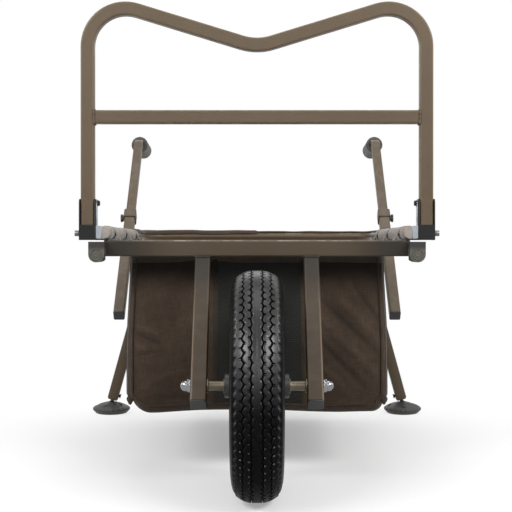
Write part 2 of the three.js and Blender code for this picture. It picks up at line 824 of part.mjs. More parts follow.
function make_post_plug() {
  const foot = pin_height + post_foot;
  const [from, to] = [gate_half_width - post_half, gate_half_width + post_half];
  const knuckle = disc_along_x(post_half, from, to, 0, pin_height);
  const above = block(from, to, -gate_side, gate_side, pin_height, foot + gate_side);
  const neck = block(from, to, -post_half, post_half, pin_height, foot - fit_gap);
  const plug = bar_z(square_section(gate_side - 2 * gate_wall - 2 * fit_gap), pin_height, foot + plug_depth);
  plug.translate(gate_half_width, 0, 0);
  const bore = disc_along_x(pin_radius + fit_gap, from - cut_overrun, to + cut_overrun, 0, pin_height);
  return cut(join(cut(knuckle, above), neck, plug), bore);
}

function add_gate() {
  add(bed, 'gate_bow', make_gate_bow(), 'frame_paint');
  const half = gate_half_width - post_half - fit_gap;
  const bar = bar_x(square_section(gate_side, gate_wall), -half, half);
  add(bed, 'gate_crossbar', bar, 'frame_paint').position.z = pin_height + crossbar_height;
  for (const [name, side] of sides) {
    add(bed, `post_plug_${name}`, mirrored_if(make_post_plug(), side), 'black_steel');
  }
}

// Handles: square sleeves on the rear rail's ends, with bent tubes that slide in them
const handle_side = sleeve_side - 2 * sleeve_wall - 2 * fit_gap;
const knob_place = sleeve_above - knob_from_end;

function make_sleeve() {
  const tube = bar_y(square_section(sleeve_side, sleeve_wall), -sleeve_below, sleeve_above);
  return cut(tube, disc_along_x(knob_stem_radius + fit_gap, 0, sleeve_side, knob_place, 0));
}

function make_sleeve_cap() {
  const cap = make_tube_cap(sleeve_side, sleeve_wall, cap_plug_depth);
  return cap.rotateX(-Math.PI / 2).translate(0, -sleeve_below - fit_gap, 0);
}

const collar_inner = sleeve_side / 2 + fit_gap;
const collar_outer = collar_inner + collar_wall;
const boss_face = collar_outer + knob_boss_height;

function make_collar() {
  const end = sleeve_above + collar_lip;
  const body = bar_y(square_section(2 * collar_outer), end - collar_length, end);
  const boss = disc_along_x(knob_boss_radius, collar_inner + fit_gap, boss_face, knob_place, 0);
  const room = collar_inner;
  const sleeve_room = block(-room, room, -collar_length, sleeve_above + fit_gap, -room, room);
  const half = handle_side / 2 + fit_gap;
  const tube_room = block(-half, half, 0, end + cut_overrun, -half, half);
  const bore = disc_along_x(knob_stem_radius + fit_gap, 0, boss_face + cut_overrun, knob_place, 0);
  return cut(join(body, boss), sleeve_room, tube_room, bore);
}

function make_knob() {
  const stem_from = handle_side / 2 + fit_gap;
  const head_from = boss_face + fit_gap;
  const stem = disc_along_x(knob_stem_radius, stem_from, head_from + knob_thickness / 2, knob_place, 0);
  const head = disc_along_x(knob_radius, head_from, head_from + knob_thickness, knob_place, 0);
  const notch_to = head_from + knob_thickness + cut_overrun;
  const notches = [];
  for (let step = 0; step < knob_notches; step += 1) {
    const angle = (2 * Math.PI * step) / knob_notches;
    const y = knob_place + knob_notch_ring * Math.cos(angle);
    const z = knob_notch_ring * Math.sin(angle);
    notches.push(disc_along_x(knob_notch_radius, head_from - fit_gap, notch_to, y, z, knob_notch_sides));
  }
  return join(stem, cut(head, ...notches));
}

const grip_fall = handle_incline + grip_droop;

function make_handle_tube() {
  const end = grip_start + grip_length - grip_end_wall - fit_gap;
  const tip_y = handle_above + end * Math.cos(grip_fall);
  const tip = new THREE.Vector3(0, tip_y, -end * Math.sin(grip_fall));
  const places = [new THREE.Vector3(0, -handle_below, 0), new THREE.Vector3(0, handle_above, 0), tip];
  return swept(square_section(handle_side, handle_wall), new RoundedRoute(places, [handle_bend]));
}

function make_grip() {
  const half = handle_side / 2 + fit_gap;
  const outline = [[0, 0], [grip_radius - grip_edge, 0], [grip_radius, grip_edge]];
  outline.push([grip_radius, grip_length - grip_edge], [grip_radius - grip_edge, grip_length]);
  outline.push([0, grip_length]);
  const body = turned_about_z(outline, round_sides).rotateX(-Math.PI / 2);
  const bore = block(-half, half, -cut_overrun, grip_length - grip_end_wall, -half, half);
  const grip = cut(body, bore).translate(0, grip_start, 0);
  return grip.rotateX(-grip_fall).translate(0, handle_above, 0);
}

function add_handles() {
  for (const [name, side] of sides) {
    const frame = new THREE.Group();
    frame.position.set(side * handle_offset, rear_rail_at, cross_height);
    frame.rotation.x = handle_incline + bed_slope;
    bed.add(frame);
    add(frame, `handle_sleeve_${name}`, mirrored_if(make_sleeve(), side), 'frame_paint');
    add(frame, `sleeve_cap_${name}`, make_sleeve_cap(), 'plastic');
    add(frame, `sleeve_collar_${name}`, mirrored_if(make_collar(), side), 'plastic');
    add(frame, `handle_knob_${name}`, mirrored_if(make_knob(), side), 'plastic');
    add(frame, `handle_tube_${name}`, make_handle_tube(), 'frame_paint');
    add(frame, `handle_grip_${name}`, make_grip(), 'foam');
  }
}

// Legs: splayed outward, hinged in brackets under the rear rail, standing plumb in the side view
const leg_half = leg_side / 2;
const leg_cheek = leg_half + fit_gap;
const leg_pivot_height = cross_height - cross_side / 2 - leg_pivot_drop;
const leg_pivot = new THREE.Vector3(leg_pivot_offset, rear_rail_at, leg_pivot_height);
const leg_pivot_on_ground = bed.localToWorld(leg_pivot.clone());
const leg_reach = (leg_pivot_on_ground.z - ball_height) / Math.cos(leg_splay);
const leg_end = -(leg_reach - leg_end_room);
const button_z = leg_end + button_above_end;
const shin_side = leg_side - 2 * leg_wall - 2 * fit_gap;

function make_leg_tube() {
  const knuckle = disc_along_x(leg_half, -leg_half, leg_half);
  const core_half = shin_side / 2;
  const core = block(-core_half, core_half, -core_half, core_half, -leg_side, 0);
  const tube = bar_z(square_section(leg_side, leg_wall), leg_end, 0);
  const pin = disc_along_x(leg_pin_radius + fit_gap, -leg_side, leg_side);
  const button = disc_along_x(button_radius + fit_gap, -leg_side, 0, 0, button_z);
  const lid = block(-leg_half, leg_half, -leg_half, leg_half, -leg_wall, 0);
  return cut(join(knuckle, core, tube, lid), pin, button);
}

function make_shin() {
  const bottom = -(leg_reach - shin_end_room);
  const tube = bar_z(square_section(shin_side, leg_wall), bottom, bottom + shin_length);
  const plug_half = shin_side / 2 - leg_wall / 2;
  const plug = block(-plug_half, plug_half, -plug_half, plug_half, bottom, bottom + button_radius);
  const neck = disc_along_z(neck_radius, -leg_reach, bottom + button_radius / 2);
  const ball = new THREE.SphereGeometry(ball_radius, ball_sides, ball_sides / 2).translate(0, 0, -leg_reach);
  const holes = [];
  for (let place = 0; place < button_holes; place += 1) {
    const height = button_z + place * button_hole_pitch;
    holes.push(disc_along_x(button_radius + fit_gap, -shin_side, 0, 0, height));
  }
  return cut(join(tube, plug, neck, ball), ...holes);
}

function make_button() {
  const stem_from = shin_side / 2 + fit_gap;
  const head_from = leg_half + fit_gap + button_travel;
  const stem = disc_along_x(button_radius, stem_from, head_from + button_head_length / 2, 0, button_z);
  const head = disc_along_x(button_head_radius, head_from, head_from + button_head_length, 0, button_z);
  return join(stem, head);
}

function make_leg_pin() {
  const head_from = leg_cheek + leg_cheek_sheet + fit_gap;
  const head_to = head_from + leg_pin_head_length;
  const shank = disc_along_x(leg_pin_radius, -head_to, head_from + leg_pin_head_length / 2);
  return join(shank, disc_along_x(leg_pin_head_radius, head_from, head_to));
}

function make_leg_bracket(frame) {
  const outer = leg_cheek + leg_cheek_sheet;
  const top = 2 * leg_pivot_drop;
  const front = -leg_half - fit_gap - leg_cheek_sheet;
  const body = block(-outer, outer, front, leg_half, -leg_cheek_below, top);
  const room = block(-leg_cheek, leg_cheek, -leg_half - fit_gap, leg_side, -leg_side, 2 * top);
  const knee = block(-leg_cheek, leg_cheek, front - cut_overrun, 0, -leg_side, -leg_web_below);
  const bore = disc_along_x(leg_pin_radius + fit_gap, -leg_side, leg_side);
  const in_bed = bed.matrixWorld.clone().invert().multiply(frame.matrixWorld);
  const placed = cut(body, room, knee, bore).applyMatrix4(in_bed);
  const reach = bed_half_width + leg_side;
  const under_rail = cross_height - cross_side / 2 - fit_gap;
  const [from, to] = [rear_rail_at - 2 * leg_side, rear_rail_at + 2 * leg_side];
  return cut(placed, block(-reach, reach, from, to, under_rail, under_rail + 2 * top));
}

function make_foot() {
  const rise = foot_top_height - foot_rim_top;
  const run = foot_radius - foot_top_radius;
  const outline = [[0, 0], [foot_base_radius, 0]];
  outline.push([foot_radius, foot_rim_height], [foot_radius, foot_rim_top]);
  const dome_shares = [[0.2, 0.32], [0.45, 0.62], [0.75, 0.88], [1, 1]];
  for (const [inward, up] of dome_shares) {
    outline.push([foot_radius - inward * run, foot_rim_top + up * rise]);
  }
  outline.push([0, foot_top_height]);
  const socket = new THREE.SphereGeometry(ball_radius + 2 * fit_gap, ball_sides, ball_sides / 2);
  const mouth_radius = ball_radius - fit_gap;
  const mouth = disc_along_z(mouth_radius, ball_height, foot_top_height + cut_overrun);
  return cut(turned_about_z(outline, foot_sides), socket.translate(0, 0, ball_height), mouth);
}

function add_legs() {
  for (const [name, side] of sides) {
    const frame = new THREE.Group();
    frame.position.set(side * leg_pivot_on_ground.x, leg_pivot_on_ground.y, leg_pivot_on_ground.z);
    frame.rotation.y = -side * leg_splay;
    model.add(frame);
    frame.updateMatrixWorld(true);
    add(bed, `leg_bracket_${name}`, make_leg_bracket(frame), 'dark_paint');
    add(frame, `leg_pin_${name}`, mirrored_if(make_leg_pin(), side), 'zinc');
    add(frame, `leg_tube_${name}`, mirrored_if(make_leg_tube(), side), 'frame_paint');
    add(frame, `leg_shin_${name}`, mirrored_if(make_shin(), side), 'frame_paint');
    add(frame, `leg_button_${name}`, mirrored_if(make_button(), -side), 'plastic');
    const foot = add(model, `foot_${name}`, make_foot(), 'foot_plastic');
    const out = leg_pivot_on_ground.x + leg_reach * Math.sin(leg_splay);
    foot.position.set(side * out, leg_pivot_on_ground.y, 0);
  }
}

// Bag: an open-topped shell, with sewn loops that hang it from the side rails
const bag_top = -rail_side / 2 - fit_gap;

function bag_outline(inset) {
  const half = bag_half_width - inset;
  const bottom = bag_top - bag_drop + inset;
  const corner = bag_corner - inset;
  const outline = new THREE.Shape();
  outline.moveTo(half, bag_top + (inset > 0 ? cut_overrun : 0));
  outline.lineTo(-half, bag_top + (inset > 0 ? cut_overrun : 0));
  outline.absarc(-half + corner, bottom + corner, corner, Math.PI, 1.5 * Math.PI);
  outline.absarc(half - corner, bottom + corner, corner, 1.5 * Math.PI, 2 * Math.PI);
  return outline;
}

function bag_prism(inset) {
  const length = bag_rear - bag_front - 2 * inset;
  const prism = extruded(bag_outline(inset), length, bag_corner_sides).rotateX(Math.PI / 2);
  return prism.translate(0, bag_rear - inset, 0);
}

function make_loop(side, y) {
  const inner = pad_radius + fit_gap;
  const ring = bar_y(round_section(inner + loop_thickness), y, y + loop_width, round_sides / 2);
  ring.translate(side * bed_half_width, 0, bed_tube_height);
  const low = bed_tube_height - inner - loop_thickness;
  const wall_in = bag_half_width - bag_wall;
  const tail = new THREE.Shape();
  tail.moveTo(wall_in, bag_top - loop_thickness);
  tail.lineTo(bag_half_width, bag_top - loop_thickness);
  tail.lineTo(bed_half_width, low);
  tail.lineTo(bed_half_width, low + loop_thickness);
  tail.lineTo(bed_half_width - loop_thickness, low + loop_thickness);
  const strap = extruded(tail, loop_width).rotateX(Math.PI / 2).translate(0, y + loop_width, 0);
  const rail = bar_y(round_section(inner), y - cut_overrun, y + loop_width + cut_overrun, round_sides / 2);
  rail.translate(side * bed_half_width, 0, bed_tube_height);
  return cut(join(ring, mirrored_if(strap, side)), rail);
}

function make_bag() {
  const shell = cut(bag_prism(0), bag_prism(bag_wall));
  const run = pad_end - pad_start - loop_width;
  const loops = [];
  for (const [, side] of sides) {
    for (const share of loop_places_share) loops.push(make_loop(side, pad_start + share * run));
  }
  return join(shell, ...loops);
}

// The whole trolley
add_wheel();
add_axle();
add_fork();
add_bed_frame();
add_soft_covers();
add_bumpers();
add_gate_hinges();
add_gate();
add_handles();
add_legs();
add(bed, 'bag', make_bag(), 'fabric');

// The origin goes to the ground under the middle of the box
model.updateMatrixWorld(true);
const footprint = new THREE.Box3().setFromObject(model, true);
const centre = footprint.getCenter(new THREE.Vector3());
model.position.set(-centre.x, -centre.y, -footprint.min.z);

export default model;
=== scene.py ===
import json
import math

import bmesh
import bpy
import numpy as np
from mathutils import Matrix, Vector


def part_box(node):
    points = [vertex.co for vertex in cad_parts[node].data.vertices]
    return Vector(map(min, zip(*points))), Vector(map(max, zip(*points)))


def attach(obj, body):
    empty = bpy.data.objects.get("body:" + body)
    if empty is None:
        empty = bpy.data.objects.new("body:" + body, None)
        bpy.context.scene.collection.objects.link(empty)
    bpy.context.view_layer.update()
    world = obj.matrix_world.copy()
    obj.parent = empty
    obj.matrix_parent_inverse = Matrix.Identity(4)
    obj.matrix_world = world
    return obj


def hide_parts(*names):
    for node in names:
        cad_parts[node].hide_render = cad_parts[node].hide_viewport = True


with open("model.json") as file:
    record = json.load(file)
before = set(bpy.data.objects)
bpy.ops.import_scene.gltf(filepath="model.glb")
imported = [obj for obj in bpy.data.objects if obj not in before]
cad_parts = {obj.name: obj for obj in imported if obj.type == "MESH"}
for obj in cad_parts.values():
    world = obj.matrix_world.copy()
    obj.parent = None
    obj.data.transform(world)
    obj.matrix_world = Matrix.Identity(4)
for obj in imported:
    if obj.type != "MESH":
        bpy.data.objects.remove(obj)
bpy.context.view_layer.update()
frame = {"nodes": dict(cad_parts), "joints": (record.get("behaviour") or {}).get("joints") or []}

bl_info = {
    "name": "Fishing trolley",
    "version": (1, 0, 0),
    "blender": (4, 5, 0),
    "location": "3D View > Sidebar > Trolley",
    "description": "Dresses the trolley's frame with painted tubes, a tyre, a bag, foam and a studio",
    "category": "Object",
}

MM = 0.001
NODES = frame["nodes"]
JOINTS = {joint["name"]: joint for joint in frame["joints"]}
SIDES = (("left", -1), ("right", 1))

# Sizes of the carried parts, in millimetres, that the dressed pieces must meet
FIT_GAP = 0.3
BED_HALF_WIDTH = 286
BED_LENGTH = 800
BED_TUBE_RADIUS = 11
BED_TUBE_HEIGHT = 29.1
BED_CORNER = 60
CROSS_HEIGHT = 5.3
CROSS_SIDE = 25
RAIL_SIDE = 30
RAIL_HALF = 285
PLATE_BOTTOM = 15.3
MIDDLE_RAIL_AT = 400
REAR_RAIL_AT = 702
PIN_HEIGHT = 28
GATE_HALF_WIDTH = 316
GATE_SIDE = 25
HANDLE_OFFSET = 315
SLEEVE_SIDE = 25
HANDLE_SIDE = 22
HANDLE_ABOVE = 413
ARM_OFFSET = 101
ARM_SIDE = 28
SQUARE_WALL = 1.5
RAIL_WALL = 2
WHEEL_RADIUS = 200
BAG_TOP = -15.3
BAG_BOTTOM = -312.3
BAG_HALF_WIDTH = 248
BAG_FRONT = 46
BAG_REAR = 622


# Places


class Place:
    """A local frame: where its zero lies in the object's frame, in millimetres, and its three axes there."""

    def __init__(self, origin, axes):
        self.origin = np.asarray(origin, float)
        self.axes = np.asarray(axes, float)

    def at(self, points):
        """The local points in the object's frame: the zero plus each number times its axis."""
        return self.origin + np.asarray(points, float) @ self.axes

    def local(self, points):
        """The object's points in this frame."""
        return (points - self.origin) @ self.axes.T

    def moved(self, step, turn=np.eye(3)):
        """The zero moved by a local step, and the axes, if asked, replaced by local directions."""
        return Place(self.at(step), np.asarray(turn, float) @ self.axes)

    def along(self, axis):
        """The same frame with its X axis swapped for Y or Z, for pieces turned about that axis."""
        return Place(self.origin, self.axes[{"y": [1, 2, 0], "z": [2, 0, 1]}[axis]])


def turned_axes(angle):
    """X kept, Y and Z turned about X by the angle in degrees, Y rising where it is positive."""
    c, s = math.cos(math.radians(angle)), math.sin(math.radians(angle))
    return [[1, 0, 0], [0, c, s], [0, -s, c]]


def setting(path):
    """The value of a setting, named as group.key."""
    group, key = path.split(".")
    return getattr(getattr(bpy.context.scene, f"trolley_{group}"), key)


def centre_of(node):
    """The middle of a carried part's box, in millimetres."""
    low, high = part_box(node)
    return np.array((low + high) / 2) / MM


def bed_place():
    """The bed's frame: zero in the middle of the front rail, Y rearwards, falling with the bed's slope."""
    return Place(centre_of("front_rail"), turned_axes(-math.degrees(setting("frame.bed_slope"))))


def handle_place(side):
    """A handle's frame: zero on the rear rail's end, Y up along the sleeve."""
    origin = bed_place().at((side * HANDLE_OFFSET, REAR_RAIL_AT, CROSS_HEIGHT))
    return Place(origin, turned_axes(math.degrees(setting("frame.handle_incline"))))


def wheel_place():
    """The wheel's frame: zero on the axle, X along it."""
    return Place(np.array(JOINTS["wheel_spin"]["pos_m"]) / MM, np.eye(3))


# Outlines, routes and grids


def columns(*parts):
    """Numbers or arrays, spread to one shape, as the columns of an array of points."""
    return np.stack(np.broadcast_arrays(*parts), -1)


def unit(vectors):
    """Vectors brought to a length of one."""
    return vectors / np.linalg.norm(vectors, axis=-1, keepdims=True)


def full_turn(steps):
    """Angles once round, evenly spaced, without the last, which is the first again."""
    return np.linspace(0, 2 * np.pi, steps, endpoint=False)


def circle(radius, turn):
    """Points at the radius and the angles."""
    return columns(radius * np.cos(turn), radius * np.sin(turn))


def lengths(path):
    """How far each point of a path lies from its start, walked along it."""
    return np.concatenate([[0], np.cumsum(np.linalg.norm(np.diff(path, axis=0), axis=1))])


def walked(path, at, far=None):
    """The points of a path, or other columns given with its lengths, at the lengths asked for."""
    far = lengths(path) if far is None else far
    return columns(*(np.interp(at, far, column) for column in path.T))


def square_outline(side, corner, steps=4, lead=0.5):
    """A square of that side with round corners, walked once round: four quarter circles, each with a point a
    short lead before and after it that keeps the flats flat."""
    inner = side / 2 - corner
    arc = circle(corner, np.linspace(0, np.pi / 2, steps + 1)) + inner
    arc = np.vstack([[side / 2, inner - lead], arc, [inner - lead, side / 2]])
    spin = np.array([[0, 1], [-1, 0]])
    return np.vstack([arc @ np.linalg.matrix_power(spin, quarter) for quarter in range(4)])


def rounded_route(corners, radii=(), steps=12):
    """Straight runs joined by circular bends: returns each station's place and its unit heading. A bend's
    points are its start plus radius times (sine along the old heading, one less cosine across it)."""
    corners = [np.asarray(corner, float) for corner in corners]
    headings = [unit(b - a) for a, b in zip(corners, corners[1:])]
    places, ways = [corners[0][None]], [headings[0][None]]
    for corner, before, after, radius in zip(corners[1:-1], headings, headings[1:], radii):
        turn = math.acos(float(np.clip(before @ after, -1, 1)))
        across = unit(after - before * (before @ after))
        start = corner - before * radius * math.tan(turn / 2)
        angle = np.linspace(0, turn, steps + 1)[:, None]
        places.append(start + radius * (np.sin(angle) * before + (1 - np.cos(angle)) * across))
        ways.append(np.cos(angle) * before + np.sin(angle) * across)
    return np.vstack([*places, corners[-1][None]]), np.vstack([*ways, headings[-1][None]])


def rings_along(places, ways, normal, outline):
    """The outline set square to each heading: its first number runs across the route, its second along the
    normal of the plane in which the route bends."""
    across = unit(np.cross(ways, normal))
    return places[:, None] + outline[None, :, :1] * across[:, None] + outline[None, :, 1:] * np.array(normal)


def grid_quads(rows, count, round_rows=False, round_columns=False, first=0):
    """The quads of a grid of points that is numbered row by row, closed either way where asked."""
    row, column = np.meshgrid(
        np.arange(rows if round_rows else rows - 1),
        np.arange(count if round_columns else count - 1),
        indexing="ij",
    )
    up, along = (row + 1) % rows, (column + 1) % count
    quads = [row * count + column, row * count + along, up * count + along, up * count + column]
    return np.stack(quads, -1).reshape(-1, 4) + first


def eased(outline, radius, steps=3, closed=True):
    """An outline whose corners become small curves: each corner is replaced by points of the quadratic curve
    from a radius before it to a radius after it, or half the side where that is shorter."""
    outline = np.asarray(outline, float)

    def eased_end(shift):
        side = np.roll(outline, shift, 0) - outline
        length = np.linalg.norm(side, axis=1)[:, None]
        return outline + side / np.maximum(length, 1e-9) * np.minimum(radius, length / 2)

    t = np.linspace(0, 1, steps + 1)[None, :, None]
    start, end = eased_end(1)[:, None], eased_end(-1)[:, None]
    curve = start * (1 - t) ** 2 + 2 * outline[:, None] * t * (1 - t) + end * t**2
    if closed:
        return curve.reshape(-1, 2)
    return np.vstack([outline[:1], curve[1:-1].reshape(-1, 2), outline[-1:]])


def bezier(points, steps):
    """Points of the cubic curve through four handles, evenly spaced in its own parameter."""
    a, b, c, d = (np.asarray(p, float) for p in points)
    t = np.linspace(0, 1, steps)[:, None]
    return a * (1 - t) ** 3 + 3 * b * t * (1 - t) ** 2 + 3 * c * t * t * (1 - t) + d * t**3


def smoothstep(low, high, value):
    """0 below low, 1 above high, and the cubic 3t2 - 2t3 between them."""
    t = np.clip((np.asarray(value, float) - low) / (high - low), 0, 1)
    return t * t * (3 - 2 * t)


def hump(value, middle, width):
    """A bell of height 1 at the middle that falls to nearly nothing one width away."""
    return np.exp(-(((np.asarray(value, float) - middle) / (0.5 * width)) ** 2))


def ripple(values, seed, waves=5):
    """Smooth wander between about -1 and 1: a sum of sines with seeded pitch and phase."""
    pick = np.random.default_rng(seed)
    total = np.zeros_like(np.asarray(values, float))
    for _ in range(waves):
        total += pick.uniform(0.3, 1) * np.sin(values * pick.uniform(0.5, 2) + pick.uniform(0, 2 * np.pi))
    return total / (0.65 * waves) * 1.4


def ripple2(u, v, seed, waves=7):
    """Smooth wander over a sheet: a sum of sines of slanted combinations of the two numbers."""
    pick = np.random.default_rng(seed)
    total = np.zeros(np.broadcast(u, v).shape)
    for _ in range(waves):
        turn = pick.uniform(0, np.pi)
        pitch = pick.uniform(0.6, 1.9)
        total += np.sin(pitch * (u * math.cos(turn) + v * math.sin(turn)) + pick.uniform(0, 2 * np.pi))
    return total / math.sqrt(waves)


# Grids of points, each with its faces and its edge number


def joined(grids):
    """Several grids as one."""
    start = np.cumsum([0] + [len(grid[0]) for grid in grids])
    points, faces, edges = zip(*grids)
    return np.vstack(points), np.vstack([quads + at for quads, at in zip(faces, start)]), np.concatenate(edges)


def tube(place, route, normal, outer, inner, edge=0.0, shear=None, ease=0.5):
    """A tube with a wall: rings of the outer outline along the route, a small eased rim, rings of the inner
    outline back again, and the first rim. shear may move the far end's rings onto a slanted plane."""
    places, ways = route
    reach = np.linalg.norm(outer, axis=1)[:, None]
    rim = outer * (reach - ease) / reach
    grid = np.concatenate([
        rings_along(places[:1] + ways[:1] * ease, ways[:1], normal, outer),
        rings_along(places[1:-1], ways[1:-1], normal, outer),
        rings_along(places[-1:] - ways[-1:] * ease, ways[-1:], normal, outer),
        rings_along(places[-1:], ways[-1:], normal, rim),
        rings_along(places, ways, normal, inner)[::-1],
        rings_along(places[:1], ways[:1], normal, rim),
    ])
    if shear is not None:
        far = slice(len(places) - 1, len(places) + 2)
        grid[far] = shear(grid[far])
    wear = np.tile(np.broadcast_to(edge, len(outer)), len(grid))
    return place.at(grid.reshape(-1, 3)), grid_quads(len(grid), len(outer), True, True), wear


def square_tube(place, route, normal, side, wall=SQUARE_WALL, shear=None):
    """A square tube along a route in a place. Its edge number is 1 on the round corners and less on the
    flats."""
    corner = setting("frame.tube_corner")
    outer = square_outline(side, corner)
    inner = square_outline(side - 2 * wall, max(0.4, corner - wall))
    edge = smoothstep(0.30 * side, 0.40 * side, np.abs(outer).min(1))
    return tube(place, route, normal, outer, inner, edge, shear)


def bead(place, outline, size, seed, pitch=2.6, sides=9):
    """A weld bead: a small circle carried round the outline, whose radius ripples once each pitch. The
    outline lies in the place's X and Y, and the bead rises along its Z."""
    closed = np.vstack([outline, outline[:1]])
    full = lengths(closed)[-1]
    count = max(24, int(full / 1.1))
    at = np.linspace(0, full, count, endpoint=False)
    path = walked(closed, at)
    turn = full_turn(sides)
    radius = size * (1 + 0.16 * np.sin(2 * np.pi * at / pitch) + 0.1 * ripple(at * 0.1, seed))[:, None]
    flat = path[:, None] + (radius * np.cos(turn))[..., None] * unit(path)[:, None]
    grid = np.concatenate([flat, (radius * np.sin(turn) * 0.9)[..., None]], -1)
    return place.at(grid.reshape(-1, 3)), grid_quads(count, sides, True, True), np.zeros(count * sides)


def turned(profile, place, steps=64, closed=False):
    """A profile of (along, radius) pairs turned about the place's X axis: each point goes to
    (along, radius cos, radius sin). Points of radius zero become poles when doubled points are merged."""
    profile = np.asarray(profile, float)
    turn = full_turn(steps)
    grid = columns(profile[:, :1], profile[:, 1:] * np.cos(turn), profile[:, 1:] * np.sin(turn))
    points = place.at(grid.reshape(-1, 3))
    return points, grid_quads(len(profile), steps, closed, True), np.zeros(len(points))


def six_flats(grid, place, flat, beyond):
    """Six flats on a turned grid: further along than asked, the radius is held under the flat's distance over
    the cosine of the angle from the nearest flat."""
    local = place.local(grid[0])
    radius = np.hypot(local[:, 1], local[:, 2])
    angle = np.arctan2(local[:, 2], local[:, 1])
    limit = flat / np.cos((angle + np.pi / 6) % (np.pi / 3) - np.pi / 6)
    held = (np.abs(local[:, 0]) > beyond) & (radius > limit)
    local[:, 1:] *= np.where(held, limit / np.maximum(radius, 1e-6), 1.0)[:, None]
    return place.at(local), *grid[1:]


# Pieces


def linked(name, mesh, angle):
    """A mesh as an object in the scene, shaded smooth with sharp edges above the angle."""
    mesh.polygons.foreach_set("use_smooth", np.ones(len(mesh.polygons), bool))
    mesh.set_sharp_from_angle(angle=math.radians(angle))
    mesh.update()
    piece = bpy.data.objects.new(name, mesh)
    bpy.context.scene.collection.objects.link(piece)
    return piece


def mended(mesh, mend):
    """The mesh after a bmesh edit that starts by merging doubled points, which closes seams and poles."""
    work = bmesh.new()
    work.from_mesh(mesh)
    bmesh.ops.remove_doubles(work, verts=work.verts, dist=0.00001)
    mend(work)
    work.to_mesh(mesh)
    work.free()


def turn_outwards(work):
    """Drops faces without an area and turns the others outwards."""
    bmesh.ops.dissolve_degenerate(work, edges=work.edges, dist=0.000005)
    bmesh.ops.recalc_face_normals(work, faces=work.faces)


def merge_flats(work):
    """Joins the faces that lie in one plane."""
    bmesh.ops.dissolve_limit(
        work, angle_limit=math.radians(1.5), verts=work.verts, edges=work.edges, use_dissolve_boundaries=False
    )


def new_piece(name, grid, materials, uv=None, slots=None, angle=35, weld=True):
    """A mesh object from a grid: its points in millimetres, its quads, and an edge number, for each point or
    for all, which the finishes read as rubbed wear, as a painted highlight on a tube's round corners, as the
    tyre's ribs, or as painted shade on the bag's cloth. uv gives each point's place on the cloth in metres,
    slots each face's material."""
    points, faces, edge = grid
    points = points.reshape(-1, 3)
    mesh = bpy.data.meshes.new(name)
    mesh.from_pydata((points * MM).tolist(), [], faces.tolist())
    if uv is not None:
        corners = np.zeros(len(mesh.loops), int)
        mesh.loops.foreach_get("vertex_index", corners)
        layer = mesh.uv_layers.new(name="cloth")
        layer.data.foreach_set("uv", uv.reshape(-1, 2)[corners].ravel())
    # The edge number: rubbed wear and a painted highlight on tube corners, and painted shade on the bag's
    # cloth.
    wear = mesh.attributes.new("edge", "FLOAT", "POINT")
    wear.data.foreach_set("value", np.broadcast_to(edge, len(points)).astype(np.float32))
    for material in materials:
        mesh.materials.append(material)
    if slots is not None:
        mesh.polygons.foreach_set("material_index", slots)
    if weld:
        mended(mesh, turn_outwards)
    return linked(name, mesh, angle)


def settle(piece, body, nodes=()):
    """The piece rides on its body, and stands for the carried parts that it names."""
    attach(piece, body)
    if nodes:
        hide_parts(*nodes)
    return piece


def dress(name, grid, finishes, body, nodes=(), slot=None, wall=None, **options):
    """A new piece with its finishes, settled on its body. wall gives a sheet of cloth its thickness in
    millimetres and the side on which it lies."""
    piece = new_piece(name, grid, [finish(each) for each in finishes.split()], **options)
    if wall:
        cloth = piece.modifiers.new("cloth thickness", "SOLIDIFY")
        cloth.thickness, cloth.offset = wall[0] * MM, wall[1]
    return settle(piece, body, nodes)


def softened(name, finishes, body, width=0.6, segments=2):
    """A copy of a carried part with its flats merged and its edges rounded by a bevel of that width."""
    mesh = NODES[name].data.copy()
    mesh.name = f"{name}_finished"
    mended(mesh, merge_flats)
    mesh.materials.clear()
    for each in finishes.split():
        mesh.materials.append(finish(each))
    piece = linked(mesh.name, mesh, 40)
    bevel = piece.modifiers.new("edges", "BEVEL")
    bevel.width = width * MM
    bevel.segments = segments
    bevel.limit_method = "ANGLE"
    bevel.angle_limit = math.radians(28)
    bevel.use_clamp_overlap = True
    bevel.harden_normals = False
    return settle(piece, body, [name])


def softened_pairs(*rows):
    """Rounded copies of left and right parts. A row gives the part's name, its finish, its body and its
    bevel, where {} stands for the side."""
    for name, side in SIDES:
        for node, finishes, body, *bevel in rows:
            softened(f"{node}_{name}", finishes, body.format(name), *bevel)


# Settings that a user would change


def colour_prop(name, description, default):
    """A colour setting, given as it is seen (sRGB)."""
    linear = [((c + 0.055) / 1.055) ** 2.4 if c > 0.04045 else c / 12.92 for c in (v / 255 for v in default)]
    return bpy.props.FloatVectorProperty(
        name=name, description=description, default=linear, subtype="COLOR", size=3, min=0, max=1
    )


def size_prop(name, description, default, low=0.0, high=1000.0):
    """A size setting in millimetres."""
    return bpy.props.FloatProperty(name=name, description=description, default=default, min=low, max=high)


def share_prop(name, description, default):
    """A setting from 0 to 1."""
    return bpy.props.FloatProperty(
        name=name, description=description, default=default, min=0, max=1, subtype="FACTOR"
    )


def angle_prop(name, description, default):
    """An angle setting, given in degrees."""
    return bpy.props.FloatProperty(
        name=name, description=description, default=math.radians(default), subtype="ANGLE", unit="ROTATION"
    )


